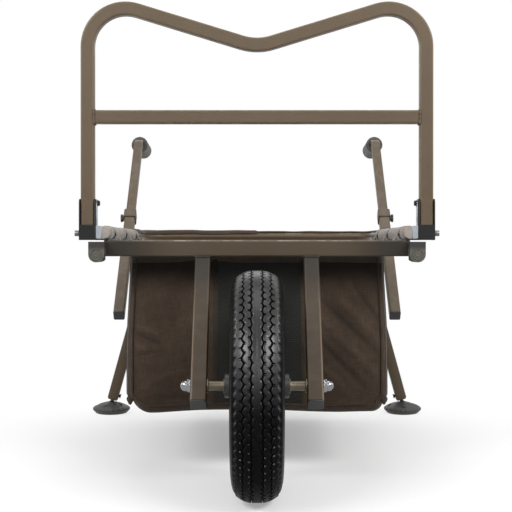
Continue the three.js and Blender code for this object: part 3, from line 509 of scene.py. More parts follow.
class TrolleyFrameSettings(bpy.types.PropertyGroup):
    """The painted frame, its fittings and its handles."""

    bed_slope: angle_prop("Bed slope", "How far the bed falls towards the rear", 2.5)
    handle_incline: angle_prop("Handle incline", "How steeply the handles rise", 39)
    tube_corner: size_prop("Tube corner", "Outer corner radius of the square tubes, in mm", 3.2, 1, 6)
    weld_size: size_prop("Weld size", "Radius of a weld bead, in mm", 2.6, 0.5, 4)
    paint: colour_prop("Paint", "Khaki powder coat of the frame", (81, 68, 52))
    paint_sheen: share_prop("Paint sheen", "How glossy the powder coat is", 0.42)
    wear: share_prop("Wear", "How much the paint is rubbed on its edges", 0.35)
    black_steel: colour_prop("Black steel", "Gate hinges", (15, 16, 17))
    zinc: colour_prop("Zinc", "Plated pins, stays and spacers", (158, 163, 168))
    plastic: colour_prop("Plastic", "Caps, collars, knobs and buttons", (34, 35, 35))
    foot_plastic: colour_prop("Foot plastic", "Mud feet", (52, 51, 49))
    bumper_rubber: colour_prop("Bumper rubber", "Corner bumpers", (73, 70, 64))


class TrolleyWheelSettings(bpy.types.PropertyGroup):
    """The pneumatic wheel."""

    waves: bpy.props.IntProperty(name="Groove waves", description="Zigzags round the tread", default=72, min=24)
    groove_depth: size_prop("Groove depth", "Depth of the tread's grooves, in mm", 3.6, 1, 6)
    groove_width: size_prop("Groove width", "Width of the tread's grooves, in mm", 3.3, 1, 6)
    rubber: colour_prop("Rubber", "Tyre", (14, 13, 14))
    rim_paint: colour_prop("Rim paint", "Rim and hub", (44, 44, 44))


class TrolleySoftSettings(bpy.types.PropertyGroup):
    """The bag, the foam and the hem."""

    fabric: colour_prop("Fabric", "Bag cloth", (68, 56, 46))
    mesh_cloth: colour_prop("Mesh", "Black mesh in the middle of the bag's front", (38, 38, 35))
    binding: colour_prop("Binding", "Tape and piping on the bag's edges", (58, 49, 41))
    foam: colour_prop("Foam", "Side pads and grips", (150, 142, 135))
    bag_bulge: size_prop("Bag bulge", "How far the bag's front swells, in mm", 4.5, 0, 8)
    crease_depth: size_prop("Crease depth", "Depth of the folds in the bag's cloth, in mm", 4.2, 0, 6)
    thread_pitch: size_prop("Thread pitch", "Distance between the cloth's threads, in mm", 0.7, 0.2, 3)


class TrolleyStageSettings(bpy.types.PropertyGroup):
    """The camera, the floor and the lamps."""

    camera_distance: bpy.props.FloatProperty(
        name="Camera distance", description="From the middle of the trolley", default=2.77774, unit="LENGTH"
    )
    camera_height: bpy.props.FloatProperty(
        name="Camera height", description="Above the floor", default=0.536, unit="LENGTH"
    )
    camera_tilt: angle_prop("Camera tilt", "How far the camera looks down", 2.871)
    lens: bpy.props.FloatProperty(name="Lens", description="Focal length on a 36 mm sensor", default=89.6)
    lamp_level: share_prop("Lamp level", "Overall strength of the lamps", 0.5)
    floor: colour_prop("Floor", "Studio floor", (200, 200, 200))


# Shader nodes


class Tree:
    """A node tree with short ways to add nodes and links."""

    def __init__(self, nodes):
        self.tree = nodes

    def plug(self, socket, value):
        """Links a socket to an output, or sets its own value."""
        if isinstance(value, bpy.types.NodeSocket):
            self.tree.links.new(value, socket)
        elif socket.type == "RGBA" and len(value) == 3:
            socket.default_value = (*value, 1)
        else:
            socket.default_value = value

    def fill(self, node, **sockets):
        """Links or sets a node's sockets by name, with _ for a space."""
        for key, value in sockets.items():
            self.plug(node.inputs[key.replace("_", " ")], value)

    def add(self, kind, settings=None, **sockets):
        """Adds a node, sets its own settings and fills its sockets."""
        made = self.tree.nodes.new(f"ShaderNode{kind}")
        for key, value in (settings or {}).items():
            setattr(made, key, value)
        self.fill(made, **sockets)
        return made

    def numbered(self, kind, settings, inputs):
        """A node whose sockets share names, filled by number. Returns its outputs."""
        made = self.add(kind, settings)
        for at, value in inputs.items():
            self.plug(made.inputs[at], value)
        return made.outputs

    def math(self, operation, *values):
        """A Math node with its numbers."""
        return self.numbered("Math", {"operation": operation}, dict(enumerate(values)))[0]

    def times(self, first, second):
        return self.math("MULTIPLY", first, second)

    def plus(self, first, second):
        return self.math("ADD", first, second)

    def scaled_plus(self, first, factor, added):
        """The first times the factor, plus the added number."""
        return self.math("MULTIPLY_ADD", first, factor, added)

    def blend(self, share, first, second):
        """A Mix node on colours."""
        return self.numbered("Mix", {"data_type": "RGBA"}, {0: share, 6: first, 7: second})[2]

    def scaled_colour(self, colour, factor):
        """A colour times a number."""
        return self.numbered("VectorMath", {"operation": "SCALE"}, {0: colour, "Scale": factor})[0]

    def spread(self, value, low, high, to_low=0.0, to_high=1.0, kind="SMOOTHSTEP"):
        """A Map Range node, smooth and clamped."""
        made = self.add(
            "MapRange", {"interpolation_type": kind, "clamp": True},
            Value=value, From_Min=low, From_Max=high, To_Min=to_low, To_Max=to_high,
        )
        return made.outputs[0]

    def noise(self, where, scale, detail=3.0, roughness=0.55):
        """A Noise Texture's value."""
        return self.add("TexNoise", Vector=where, Scale=scale, Detail=detail, Roughness=roughness).outputs[0]

    def split(self, vector):
        """A vector's three numbers."""
        return self.add("SeparateXYZ", Vector=vector).outputs

    def normal(self):
        """The face's normal, split."""
        return self.split(self.add("NewGeometry").outputs["Normal"])

    def edge(self):
        """The piece's own edge number."""
        return self.add("Attribute", {"attribute_name": "edge"}).outputs["Fac"]

    def cloth(self):
        """The place on the cloth's own UV."""
        return self.add("UVMap", {"uv_map": "cloth"}).outputs[0]

    def bump(self, height, strength, distance=0.0004):
        """A Bump node's normal."""
        return self.add("Bump", Height=height, Strength=strength, Distance=distance).outputs[0]

    def effect(self, label, **sockets):
        """One of the shared effects, built the first time that it is asked for. Returns its outputs."""
        group = bpy.data.node_groups.get(label) or EFFECTS[label](label)
        return self.add("Group", {"node_tree": group}, **sockets).outputs

    def tone(self, where, colour, scale, amount):
        """The colour made slightly uneven. Returns it and its mask as outputs."""
        return self.effect("Uneven colour", Vector=where, Colour=(*colour, 1), Scale=scale, Amount=amount)


def new_group(name, inputs, outputs):
    """An empty node group with named sockets. A socket's kind follows its default: a number, three numbers
    for a vector, or four for a colour."""
    tree = bpy.data.node_groups.new(name, "ShaderNodeTree")
    for label, default in inputs.items():
        count = len(default) if hasattr(default, "__len__") else 1
        kind = {1: "NodeSocketFloat", 3: "NodeSocketVector", 4: "NodeSocketColor"}[count]
        socket = tree.interface.new_socket(name=label, in_out="INPUT", socket_type=kind)
        socket.default_value = default
    for label, kind in outputs.items():
        tree.interface.new_socket(name=label, in_out="OUTPUT", socket_type=f"NodeSocket{kind}")
    return Tree(tree), tree.nodes.new("NodeGroupInput").outputs, tree.nodes.new("NodeGroupOutput").inputs


def grain_group(label):
    """Fine grain: a height from two noises, one at the grain's size and one at five times it, and a mask of
    its peaks."""
    t, given, wanted = new_group(
        label, {"Vector": (0, 0, 0), "Scale": 900.0, "Coarse": 0.4}, {"Height": "Float", "Peaks": "Float"}
    )
    fine = t.noise(given["Vector"], given["Scale"], 2)
    coarse = t.noise(given["Vector"], t.times(given["Scale"], 0.2), 3)
    t.plug(wanted["Height"], t.scaled_plus(coarse, given["Coarse"], fine))
    t.plug(wanted["Peaks"], t.spread(fine, 0.56, 0.68))
    return t.tree


def blotch_group(label):
    """Uneven colour: a large and a middle noise move the colour between a darker and a lighter one."""
    inputs = {"Vector": (0, 0, 0), "Colour": (0.5, 0.5, 0.5, 1), "Scale": 6.0, "Amount": 0.2}
    t, given, wanted = new_group(label, inputs, {"Colour": "Color", "Mask": "Float"})
    large = t.noise(given["Vector"], given["Scale"], 3)
    middle = t.noise(given["Vector"], t.times(given["Scale"], 7.0), 4)
    mask = t.spread(t.scaled_plus(middle, 0.4, t.times(large, 0.6)), 0.36, 0.64)
    swing = t.times(given["Amount"], t.math("SUBTRACT", mask, 0.5))
    t.plug(wanted["Colour"], t.scaled_colour(given["Colour"], t.plus(1.0, swing)))
    t.plug(wanted["Mask"], mask)
    return t.tree


def weave_group(label):
    """Plain weave on the cloth's own UV: two crossing rows of round threads, one on top where the sum of the
    two thread numbers is even, the other where it is odd."""
    t, given, wanted = new_group(
        label, {"UV": (0, 0, 0), "Threads per metre": 1500.0}, {"Height": "Float", "Thread": "Float"}
    )
    warp, weft = (t.times(part, given["Threads per metre"]) for part in t.split(given["UV"])[:2])
    over, under = (t.math("ABSOLUTE", t.math("SINE", t.times(way, math.pi))) for way in (warp, weft))
    odd = t.math("PINGPONG", t.plus(t.math("FLOOR", warp), t.math("FLOOR", weft)), 1.0)
    height = t.scaled_plus(under, odd, t.times(over, t.math("SUBTRACT", 1.0, odd)))
    t.plug(wanted["Height"], height)
    t.plug(wanted["Thread"], t.spread(height, 0.1, 0.7))
    return t.tree


def netting_group(label):
    """Net on the cloth's own UV: rows of small round holes, every second row moved by half a hole."""
    t, given, wanted = new_group(
        label, {"UV": (0, 0, 0), "Holes per metre": 420.0}, {"Height": "Float", "Hole": "Float"}
    )
    across, along = t.split(given["UV"])[:2]
    row = t.times(along, t.times(given["Holes per metre"], 1.15))
    shift = t.times(t.math("PINGPONG", t.math("FLOOR", row), 1.0), 0.5)
    across = t.scaled_plus(across, given["Holes per metre"], shift)
    x, y = (t.math("SUBTRACT", t.math("FRACT", value), 0.5) for value in (across, row))
    away = t.math("SQRT", t.scaled_plus(x, x, t.times(y, y)))
    t.plug(wanted["Height"], t.spread(away, 0.22, 0.42))
    t.plug(wanted["Hole"], t.spread(away, 0.24, 0.36, 1.0, 0.0))
    return t.tree


def dust_group(label):
    """Dust: a mask that is strongest on faces that look up, broken by noise."""
    t, given, wanted = new_group(label, {"Vector": (0, 0, 0), "Amount": 0.3, "Scale": 60.0}, {"Mask": "Float"})
    upward = t.spread(t.normal()[2], 0.2, 1.0)
    broken = t.spread(t.noise(given["Vector"], given["Scale"], 5), 0.42, 0.68)
    t.plug(wanted["Mask"], t.times(t.times(upward, broken), given["Amount"]))
    return t.tree


def wear_group(label):
    """Rubbed edges: the piece's own edge attribute, broken by noise, above a level set by the amount."""
    t, given, wanted = new_group(label, {"Vector": (0, 0, 0), "Amount": 0.3, "Scale": 45.0}, {"Mask": "Float"})
    broken = t.noise(given["Vector"], given["Scale"], 6, 0.7)
    level = t.math("SUBTRACT", 0.86, t.times(given["Amount"], 0.42))
    rubbed = t.times(t.edge(), broken)
    t.plug(wanted["Mask"], t.spread(rubbed, level, t.plus(level, 0.08), kind="LINEAR"))
    return t.tree


EFFECTS = {
    "Fine grain": grain_group,
    "Uneven colour": blotch_group,
    "Plain weave": weave_group,
    "Netting": netting_group,
    "Dust": dust_group,
    "Rubbed edges": wear_group,
}


# Finishes


def shades(colour, factor):
    """The colour times a number, held under one."""
    return tuple(min(1, factor * c) for c in colour)


def new_material(name):
    """A node material with a Principled shader. Returns its tree, the shader and the Object coordinates."""
    material = bpy.data.materials.new(name)
    material.use_nodes = True
    t = Tree(material.node_tree)
    t.tree.nodes.clear()
    surface = t.add("BsdfPrincipled")
    t.add("OutputMaterial", Surface=surface.outputs[0])
    return t, surface, t.add("TexCoord").outputs["Object"]


def toned(t, where, colour, shade):
    """The colour, darkened along one of the Object axes as painted shade: shade gives the axis, where the dark
    starts and is full, and how strong it is. Both ends of X darken alike."""
    if shade is None:
        return colour
    axis, start, full, strength = shade
    dark = t.spread(t.math("ABSOLUTE", t.split(where)[axis]), start, full, 0.0, strength)
    return t.blend(dark, colour, (0.006, 0.0055, 0.005))


def powder_coat(name, colour, sheen=None, wear=None, dirt=(0.42, 0.39, 0.34), steel=(0.46, 0.44, 0.41),
                shade=None, clouds=0.12, coat=0.03, specular=0.35, dusty=0.2, rim=0.3):
    """Powder coat: orange-peel grain, a painted glint on the grain's peaks, slightly uneven colour, a painted
    highlight on a tube's round corners whose strength is rim, dust, and rubbed edges where the steel shows
    through. shade, if given, adds painted shade along one Object axis."""
    sheen = setting("frame.paint_sheen") if sheen is None else sheen
    wear = setting("frame.wear") if wear is None else wear
    t, surface, where = new_material(name)
    paint = t.tone(where, colour, 5.0, clouds)
    grain = t.effect("Fine grain", Vector=where, Scale=1500.0, Coarse=0.6)
    # Painted highlight: the tube's round corners are lightened, as strongly as rim asks.
    corner = t.spread(t.edge(), 0.88, 1.0)
    lit = t.blend(t.times(corner, rim), paint["Colour"], shades(colour, 2.6))
    # Painted glint: the grain's peaks are lightened in the colour.
    painted_glint = t.blend(t.times(grain["Peaks"], 0.22), lit, shades(colour, 1.7))
    dust = t.effect("Dust", Vector=where, Amount=dusty, Scale=40.0)
    dulled = t.blend(dust["Mask"], painted_glint, dirt)
    rubbed = t.effect("Rubbed edges", Vector=where, Amount=wear, Scale=70.0)
    bare = t.blend(t.times(rubbed["Mask"], 0.8), dulled, steel)
    middle, swing = 0.66 - 0.5 * sheen, 0.4 * clouds
    rough = t.spread(paint["Mask"], 0.0, 1.0, middle - swing, middle + swing)
    t.fill(
        surface, Base_Color=toned(t, where, bare, shade), Metallic=t.scaled_plus(rubbed["Mask"], 0.5, 0.26),
        Roughness=t.scaled_plus(dust["Mask"], 0.4, rough), Coat_Weight=coat, Coat_Roughness=0.32,
        Specular_IOR_Level=specular, Normal=t.bump(grain["Height"], 0.1),
    )


def plated(name, colour, rough, clouds, smudged=0.16, grained=0.06):
    """Plated steel: crystals of slightly different grey, fine drawn lines, and dull smudges."""
    t, surface, where = new_material(name)
    crystals = t.add("TexVoronoi", Vector=where, Scale=240.0).outputs["Color"]
    shade = t.spread(crystals, 0.0, 1.0, 1.0 - clouds, 1.0)
    smudge = t.spread(t.noise(where, 55.0, 5), 0.4, 0.7)
    bright = t.blend(shade, shades(colour, 0.62), colour)
    t.fill(
        surface, Base_Color=t.blend(t.times(smudge, 0.18), bright, shades(colour, 0.5)), Metallic=1.0,
        Roughness=t.scaled_plus(smudge, smudged, rough), Normal=t.bump(t.noise(where, 900.0, 2), grained),
    )


def moulded(name, colour, rough, grain_scale=1100.0, shade=None):
    """Moulded plastic or rubber: fine spark-eroded grain, faint flow clouds and settled dust. shade, if given,
    adds painted shade along one Object axis.
    """
    t, surface, where = new_material(name)
    clouds = t.tone(where, colour, 14.0, 0.18)
    grain = t.effect("Fine grain", Vector=where, Scale=grain_scale, Coarse=0.3)["Height"]
    dust = t.effect("Dust", Vector=where, Amount=0.22, Scale=70.0)
    dusty = t.blend(dust["Mask"], clouds["Colour"], tuple(2.2 * c + 0.01 for c in colour))
    t.fill(
        surface, Base_Color=toned(t, where, dusty, shade), Specular_IOR_Level=0.45,
        Roughness=t.spread(grain, 0.3, 1.0, rough - 0.06, rough + 0.1), Normal=t.bump(grain, 0.12),
    )


def tyre_rubber(name, colour):
    """Tyre rubber: black with a brownish bloom, pale dust in the hollows of the tread and on the crown, a fine
    moulded grain, and a shine on the tread that fades on faces that look up or down: painted shade on its
    reflections, set by which way each face looks."""
    t, surface, where = new_material(name)
    bloom, tread = t.tone(where, colour, 18.0, 0.5), t.edge()
    crown = t.times(tread, t.spread(t.noise(where, 260.0, 6, 0.7), 0.42, 0.7))
    rubbed = t.blend(t.times(crown, 0.3), bloom["Colour"], (0.02, 0.019, 0.018))
    dust = t.effect("Dust", Vector=where, Amount=0.1, Scale=90.0)
    upright = t.normal()[2]
    # Painted shade on reflections: the tread's shine is cut on faces that look down and, less, on faces that
    # look up.
    shine_faded_by_facing = t.times(tread, t.spread(upright, -0.15, 0.3, 0.0, 0.42))
    shine_faded_by_facing = t.times(shine_faded_by_facing, t.spread(upright, 0.6, 0.95, 1.0, 0.35))
    grain = t.effect("Fine grain", Vector=where, Scale=1300.0, Coarse=0.8)
    t.fill(
        surface, Base_Color=t.blend(dust["Mask"], rubbed, (0.035, 0.033, 0.03)),
        Roughness=t.spread(bloom["Mask"], 0.0, 1.0, 0.26, 0.34), Specular_IOR_Level=t.plus(shine_faded_by_facing, 0.01),
        Normal=t.bump(grain["Height"], 0.3, 0.0003),
    )


def foam(name, colour, dirt=0.2):
    """Closed-cell foam: small round cells under a skin, with soft dirt where hands and straps rub."""
    t, surface, where = new_material(name)
    tone = t.tone(where, colour, 22.0, 0.16)
    cells = t.add("TexVoronoi", Vector=where, Scale=900.0).outputs["Distance"]
    pitted = t.blend(t.times(t.spread(cells, 0.1, 0.6), 0.25), tone["Colour"], shades(colour, 0.6))
    soiled = t.times(t.spread(t.noise(where, 30.0, 5, 0.65), 0.5, 0.75), dirt)
    t.fill(
        surface, Base_Color=t.blend(soiled, pitted, shades(colour, 0.45)), Roughness=0.86, Sheen_Weight=0.15,
        Sheen_Roughness=0.5, Normal=t.bump(cells, 0.35, 0.0005),
    )


def woven(name, colour, threads=1000, sheen=0.2, streak=0.25):
    """Woven cloth on its own UV: raised threads with dark gaps, slubs along both ways, uneven dye and lint. The
    edge number darkens it: painted shade on the bag near its rim and in the hollows of its folds, and on the
    piping a darker stretch from the rim down to the zips' ends. threads is how many lie in a thousand thread
    pitches."""
    t, surface, where = new_material(name)
    dye, cloth = t.tone(where, colour, 9.0, 0.3), t.cloth()
    weave = t.effect("Plain weave", UV=cloth, Threads_per_metre=threads / setting("soft.thread_pitch"))
    slubs = [
        t.noise(t.add("Mapping", Vector=cloth, Scale=(x, y, 1)).outputs[0], 1.0, 3)
        for x, y in ((1400, 40), (40, 1400))
    ]
    lifted = t.scaled_colour(dye["Colour"], t.spread(t.plus(*slubs), 0.8, 1.2, 1.0 - streak, 1.0 + streak))
    gap = t.times(t.math("SUBTRACT", 1.0, weave["Thread"]), 0.55)
    lint = t.effect("Dust", Vector=where, Amount=0.2, Scale=220.0)
    linty = t.blend(lint["Mask"], t.blend(gap, lifted, shades(colour, 0.35)), shades(colour, 2.5))
    # The edge number darkens the colour: on the bag's cloth this is painted shade.
    t.fill(
        surface, Base_Color=t.blend(t.edge(), linty, shades(colour, 0.12)), Roughness=0.88, Sheen_Weight=sheen,
        Sheen_Roughness=0.45, Specular_IOR_Level=0.12, Normal=t.bump(weave["Height"], 0.55, 0.0003),
    )


def netting(name, colour):
    """Black net over a dark lining: small round holes in staggered rows, with a faint shine on the
    threads."""
    t, surface, where = new_material(name)
    tone = t.tone(where, colour, 12.0, 0.3)
    net = t.effect("Netting", UV=t.cloth(), Holes_per_metre=200.0)
    holes = t.blend(net["Hole"], tone["Colour"], (0.002, 0.002, 0.002))
    # Painted shade: the edge number darkens the net near the bag's rim and in the hollows of its folds.
    t.fill(
        surface, Base_Color=t.blend(t.edge(), holes, (0.003, 0.003, 0.003)), Roughness=0.7,
        Specular_IOR_Level=0.2, Normal=t.bump(net["Height"], 0.6, 0.0005),
    )


def zip_teeth(name, colour):
    """Coil zip on its own UV: rows of small teeth across the tape."""
    t, surface, where = new_material(name)
    tone = t.tone(where, colour, 30.0, 0.2)
    teeth = t.math("SINE", t.times(t.split(t.cloth())[1], 2 * math.pi * 560))
    height = t.spread(teeth, -0.6, 0.8)
    t.fill(
        surface, Base_Color=t.blend(height, shades(colour, 0.4), tone["Colour"]), Roughness=0.5,
        Normal=t.bump(height, 0.8, 0.0006),
    )


# Each finish: its maker, its colour or the setting that holds it, a factor on the colour, and its options
FINISHES = {
    "frame_powder_coat": (powder_coat, "frame.paint", 1, {}),
    "limb_powder_coat": (powder_coat, "frame.paint", 0.84, {"clouds": 0.08, "dusty": 0.08}),
    "bracket_powder_coat": (powder_coat, "frame.paint", 0.6, {"sheen": 0.4}),
    # The front rail: a darker copy of the frame paint as painted shade, painted shade towards both its ends,
    # dust raised to 0.6 partly as a painted highlight along its top, and a weaker painted corner highlight.
    "rail_powder_coat": (powder_coat, "frame.paint", 0.68, {
        "sheen": 0.4, "shade": ("X", 0.14, 0.26, 0.8), "clouds": 0.04, "coat": 0.04, "specular": 0.3,
        "dusty": 0.6, "rim": 0.2,
    }),
    # The fork's arms: a darker copy of the frame paint as painted shade, the rail's shadow painted over their
    # upper ends, and a strong painted highlight on their round corners.
    "fork_powder_coat": (powder_coat, "frame.paint", 0.56, {
        "sheen": 0.4, "shade": ("Z", 0.31, 0.4, 0.7), "clouds": 0.04, "coat": 0.05, "dusty": 0.05, "rim": 0.7,
    }),
    "black_coat": (powder_coat, "frame.black_steel", 1, {
        "sheen": 0.35, "wear": 0.3, "dirt": (0.05, 0.05, 0.05), "steel": (0.2, 0.2, 0.2), "specular": 0.3,
    }),
    "rim_enamel": (powder_coat, "wheel.rim_paint", 1, {
        "sheen": 0.6, "wear": 0.2, "dirt": (0.08, 0.08, 0.08), "steel": (0.2, 0.2, 0.2),
    }),
    "zinc_plate": (plated, "frame.zinc", 1, {"rough": 0.28, "clouds": 0.35}),
    "dull_plate": (plated, (0.13, 0.13, 0.135), 1, {"rough": 0.3, "clouds": 0.3}),
    "olive_zinc_plate": (plated, (0.13, 0.112, 0.082), 1, {"rough": 0.36, "clouds": 0.25}),
    "bearing_steel": (plated, (0.45, 0.46, 0.48), 1, {"rough": 0.22, "clouds": 0.1}),
    "chrome_plate": (plated, (0.24, 0.245, 0.26), 1, {
        "rough": 0.05, "clouds": 0.04, "smudged": 0.03, "grained": 0.004,
    }),
    "black_plastic": (moulded, "frame.plastic", 1, {"rough": 0.45}),
    "foot_plastic": (moulded, "frame.foot_plastic", 1, {"rough": 0.5}),
    "cap_plastic": (moulded, "frame.foot_plastic", 0.6, {"rough": 0.5}),
    # Painted shade: the bumper's upper end is darkened where it meets the hinge.
    "bumper_rubber": (moulded, "frame.bumper_rubber", 1, {
        "rough": 0.62, "grain_scale": 700.0, "shade": ("Z", 0.427, 0.437, 0.9),
    }),
    "tyre_rubber": (tyre_rubber, "wheel.rubber", 1, {}),
    "pad_foam": (foam, "soft.foam", 1, {}),
    # The grips: a darker copy of the pad foam, as painted shade.
    "grip_foam": (foam, "soft.foam", 0.24, {"dirt": 0.35}),
    "bag_cloth": (woven, "soft.fabric", 1, {}),
    "binding_tape": (woven, "soft.binding", 1, {"threads": 1400, "sheen": 0.3, "streak": 0.15}),
    "piping_cord": (woven, "soft.fabric", 1.1, {"threads": 1400, "sheen": 0.1, "streak": 0.1}),
    "loop_webbing": (woven, "soft.foam", 0.8, {"sheen": 0.1, "streak": 0.1}),
    "net_cloth": (netting, "soft.mesh_cloth", 1, {}),
    "zip_coil": (zip_teeth, "soft.binding", 1.8, {}),
}


def finish(name):
    """A finish by name, made the first time that it is asked for."""
    label = f"trolley_{name}"
    if label not in bpy.data.materials:
        maker, colour, factor, options = FINISHES[name]
        colour = setting(colour) if isinstance(colour, str) else colour
        maker(label, tuple(factor * c for c in colour), **options)
    return bpy.data.materials[label]


# Painted tubes, gate, handles and legs

GATE_FOOT = 33
GATE_SHOULDER = 472.04
GATE_DIP = 375.43
GATE_BENDS = (71, 100, 71)
CROSSBAR_AT = 245
CROSSBAR_HALF = 303.2
BED_TUBE_WALL = 1.5
BED_TUBE_FRONT = -10.7
ARM_OVERHANG = 36
SLEEVE_WALL = 1.2
SLEEVE_BELOW = 238
SLEEVE_ABOVE = 118
HANDLE_BELOW = 58
HANDLE_BEND = 42
HANDLE_TIP = 141.7
GRIP_FALL = 45
GRIP_START = 24
BALL_HEIGHT = 22
BALL_REACH = 10.6
STAY_INNER = 298.25
EYE_HEIGHT = 84.3
BUMPER_FACE = (295.5, -45, -11.5)


def painted(name, grid, body, node, coat="frame_powder_coat"):
    """A painted tube that stands for one carried part."""
    return dress(name, grid, coat, body, [node], "frame_paint")


def cross_bar(place, half, side, wall=SQUARE_WALL):
    """A straight square tube along the place's X, a half length to either side."""
    return square_tube(place, rounded_route([(-half, 0, 0), (half, 0, 0)]), (0, 0, 1), side, wall)


def welded_bar(place, half, side, seed, gap=0.0):
    """A cross bar with a weld bead round each end, set out from it by the gap."""
    outline = square_outline(side, setting("frame.tube_corner"))
    grids = [cross_bar(place, half, side)]
    for _, end in SIDES:
        seam = place.moved((end * (half + gap), 0, 0), [[0, 1, 0], [0, 0, 1], [-end, 0, 0]])
        grids.append(bead(seam, outline, setting("frame.weld_size"), seed + end))
    return joined(grids)


def to_side(profile, side):
    """A profile of (along, radius) pairs, turned round to point to that side."""
    return np.array(profile) * [side, 1]


class TROLLEY_OT_gate(bpy.types.Operator):
    """Gate: one square tube bent up, over, down to a dip and back, with a crossbar welded between its posts.
    The tube is a rounded square carried along straight runs and circular bends"""

    bl_idname = "trolley.gate"
    bl_label = "Gate"

    def execute(self, context):
        bed = bed_place()
        line = [(-1, GATE_FOOT), (-1, GATE_SHOULDER), (0, GATE_DIP), (1, GATE_SHOULDER), (1, GATE_FOOT)]
        route = rounded_route([(side * GATE_HALF_WIDTH, 0, z) for side, z in line], GATE_BENDS, 18)
        painted("gate_tube", square_tube(bed, route, (0, 1, 0), GATE_SIDE), "gate", "gate_bow")
        bar = welded_bar(bed.moved((0, 0, CROSSBAR_AT)), CROSSBAR_HALF, GATE_SIDE, 5, FIT_GAP)
        painted("gate_crossbar_welded", bar, "gate", "gate_crossbar")
        return {"FINISHED"}


class TROLLEY_OT_bed(bpy.types.Operator):
    """Bed: square front, middle and rear rails under one round tube, with weld beads where they meet"""

    bl_idname = "trolley.bed"
    bl_label = "Bed frame"

    def execute(self, context):
        bed = bed_place()
        front = cross_bar(bed, RAIL_HALF, RAIL_SIDE, RAIL_WALL)
        painted("front_rail_tube", front, "frame", "front_rail", "rail_powder_coat")
        place = bed.moved((0, MIDDLE_RAIL_AT, CROSS_HEIGHT))
        middle = cross_bar(place, BED_HALF_WIDTH + BED_TUBE_RADIUS, CROSS_SIDE)
        painted("middle_rail_tube", middle, "frame", "middle_rail")
        place = bed.moved((0, REAR_RAIL_AT, CROSS_HEIGHT))
        rear = welded_bar(place, HANDLE_OFFSET - SLEEVE_SIDE / 2 - FIT_GAP, CROSS_SIDE, 11)
        painted("rear_rail_tube", rear, "frame", "rear_rail")
        painted("bed_tube_bent", self.bent_tube(bed), "frame", "bed_tube")
        return {"FINISHED"}

    def bent_tube(self, bed):
        """The round tube runs back along one side, across the rear and forward again, with quarter bends. A
        seam joins it to the rear rail on either side."""
        line = [(-1, BED_TUBE_FRONT), (-1, BED_LENGTH), (1, BED_LENGTH), (1, BED_TUBE_FRONT)]
        corners = [(side * BED_HALF_WIDTH, y, BED_TUBE_HEIGHT) for side, y in line]
        route = rounded_route(corners, (BED_CORNER, BED_CORNER), 18)
        outer, inner = (circle(BED_TUBE_RADIUS - wall, full_turn(32)) for wall in (0, BED_TUBE_WALL))
        grids = [tube(bed, route, (0, 0, 1), outer, inner)]
        outline = square_outline(CROSS_SIDE - 2, 4) * [0.62, 1]
        for _, side in SIDES:
            seam = bed.moved((side * BED_HALF_WIDTH, REAR_RAIL_AT, CROSS_HEIGHT + CROSS_SIDE / 2))
            grids.append(bead(seam, outline, 1.8, 21 + side))
        return joined(grids)


class TROLLEY_OT_fork(bpy.types.Operator):
    """Fork: two square arms that lean from the axle to the underside of the front rail, cut to its plane and
    welded there, with a plastic cap in each lower end"""

    bl_idname = "trolley.fork"
    bl_label = "Fork"

    def execute(self, context):
        bed = bed_place()
        axle = bed.local(wheel_place().origin)
        top = np.array([0, 0, -PLATE_BOTTOM])
        way = unit(top - axle)

        def cut(rings):
            """Points slid along the arm onto the plane of the rail's underside."""
            return rings + way * ((top[2] - rings[..., 2:]) / way[2])

        outline = square_outline(ARM_SIDE, setting("frame.tube_corner")) * [1, 1 / way[2]]
        for name, side in SIDES:
            shift = np.array([side * ARM_OFFSET, 0, 0])
            route = rounded_route([axle - way * ARM_OVERHANG + shift, top + shift])
            arm = square_tube(bed, route, (1, 0, 0), ARM_SIDE, RAIL_WALL, cut)
            seam = bed.moved(top + shift, [[1, 0, 0], [0, 1, 0], [0, 0, -1]])
            arm = joined([arm, bead(seam, outline, setting("frame.weld_size"), 31 + side)])
            painted(f"fork_arm_{name}_tube", arm, "frame", f"fork_arm_{name}", "fork_powder_coat")
            softened(f"fork_cap_{name}", "cap_plastic", "frame", 0.9)
        return {"FINISHED"}


class TROLLEY_OT_handles(bpy.types.Operator):
    """Handles: square sleeves with caps, collars and clamp knobs, and the bent tubes that slide in them"""

    bl_idname = "trolley.handles"
    bl_label = "Handles"

    def execute(self, context):
        fall = math.radians(GRIP_FALL)
        tip = (0, HANDLE_ABOVE + HANDLE_TIP * math.cos(fall), -HANDLE_TIP * math.sin(fall))
        straight = rounded_route([(0, -SLEEVE_BELOW, 0), (0, SLEEVE_ABOVE, 0)])
        bent = rounded_route([(0, -HANDLE_BELOW, 0), (0, HANDLE_ABOVE, 0), tip], [HANDLE_BEND], 14)
        for name, side in SIDES:
            place, coat = handle_place(side), "limb_powder_coat"
            sleeve = square_tube(place, straight, (1, 0, 0), SLEEVE_SIDE, SLEEVE_WALL)
            painted(f"handle_sleeve_{name}_tube", sleeve, "frame", f"handle_sleeve_{name}", coat)
            handle = square_tube(place, bent, (1, 0, 0), HANDLE_SIDE)
            painted(f"handle_tube_{name}_bent", handle, f"handle_{name}", f"handle_tube_{name}", coat)
        softened_pairs(
            ("sleeve_cap", "black_plastic", "frame", 0.8),
            ("sleeve_collar", "limb_powder_coat", "frame", 0.8),
            ("handle_knob", "black_plastic", "knob_{}", 0.9, 3),
        )
        return {"FINISHED"}


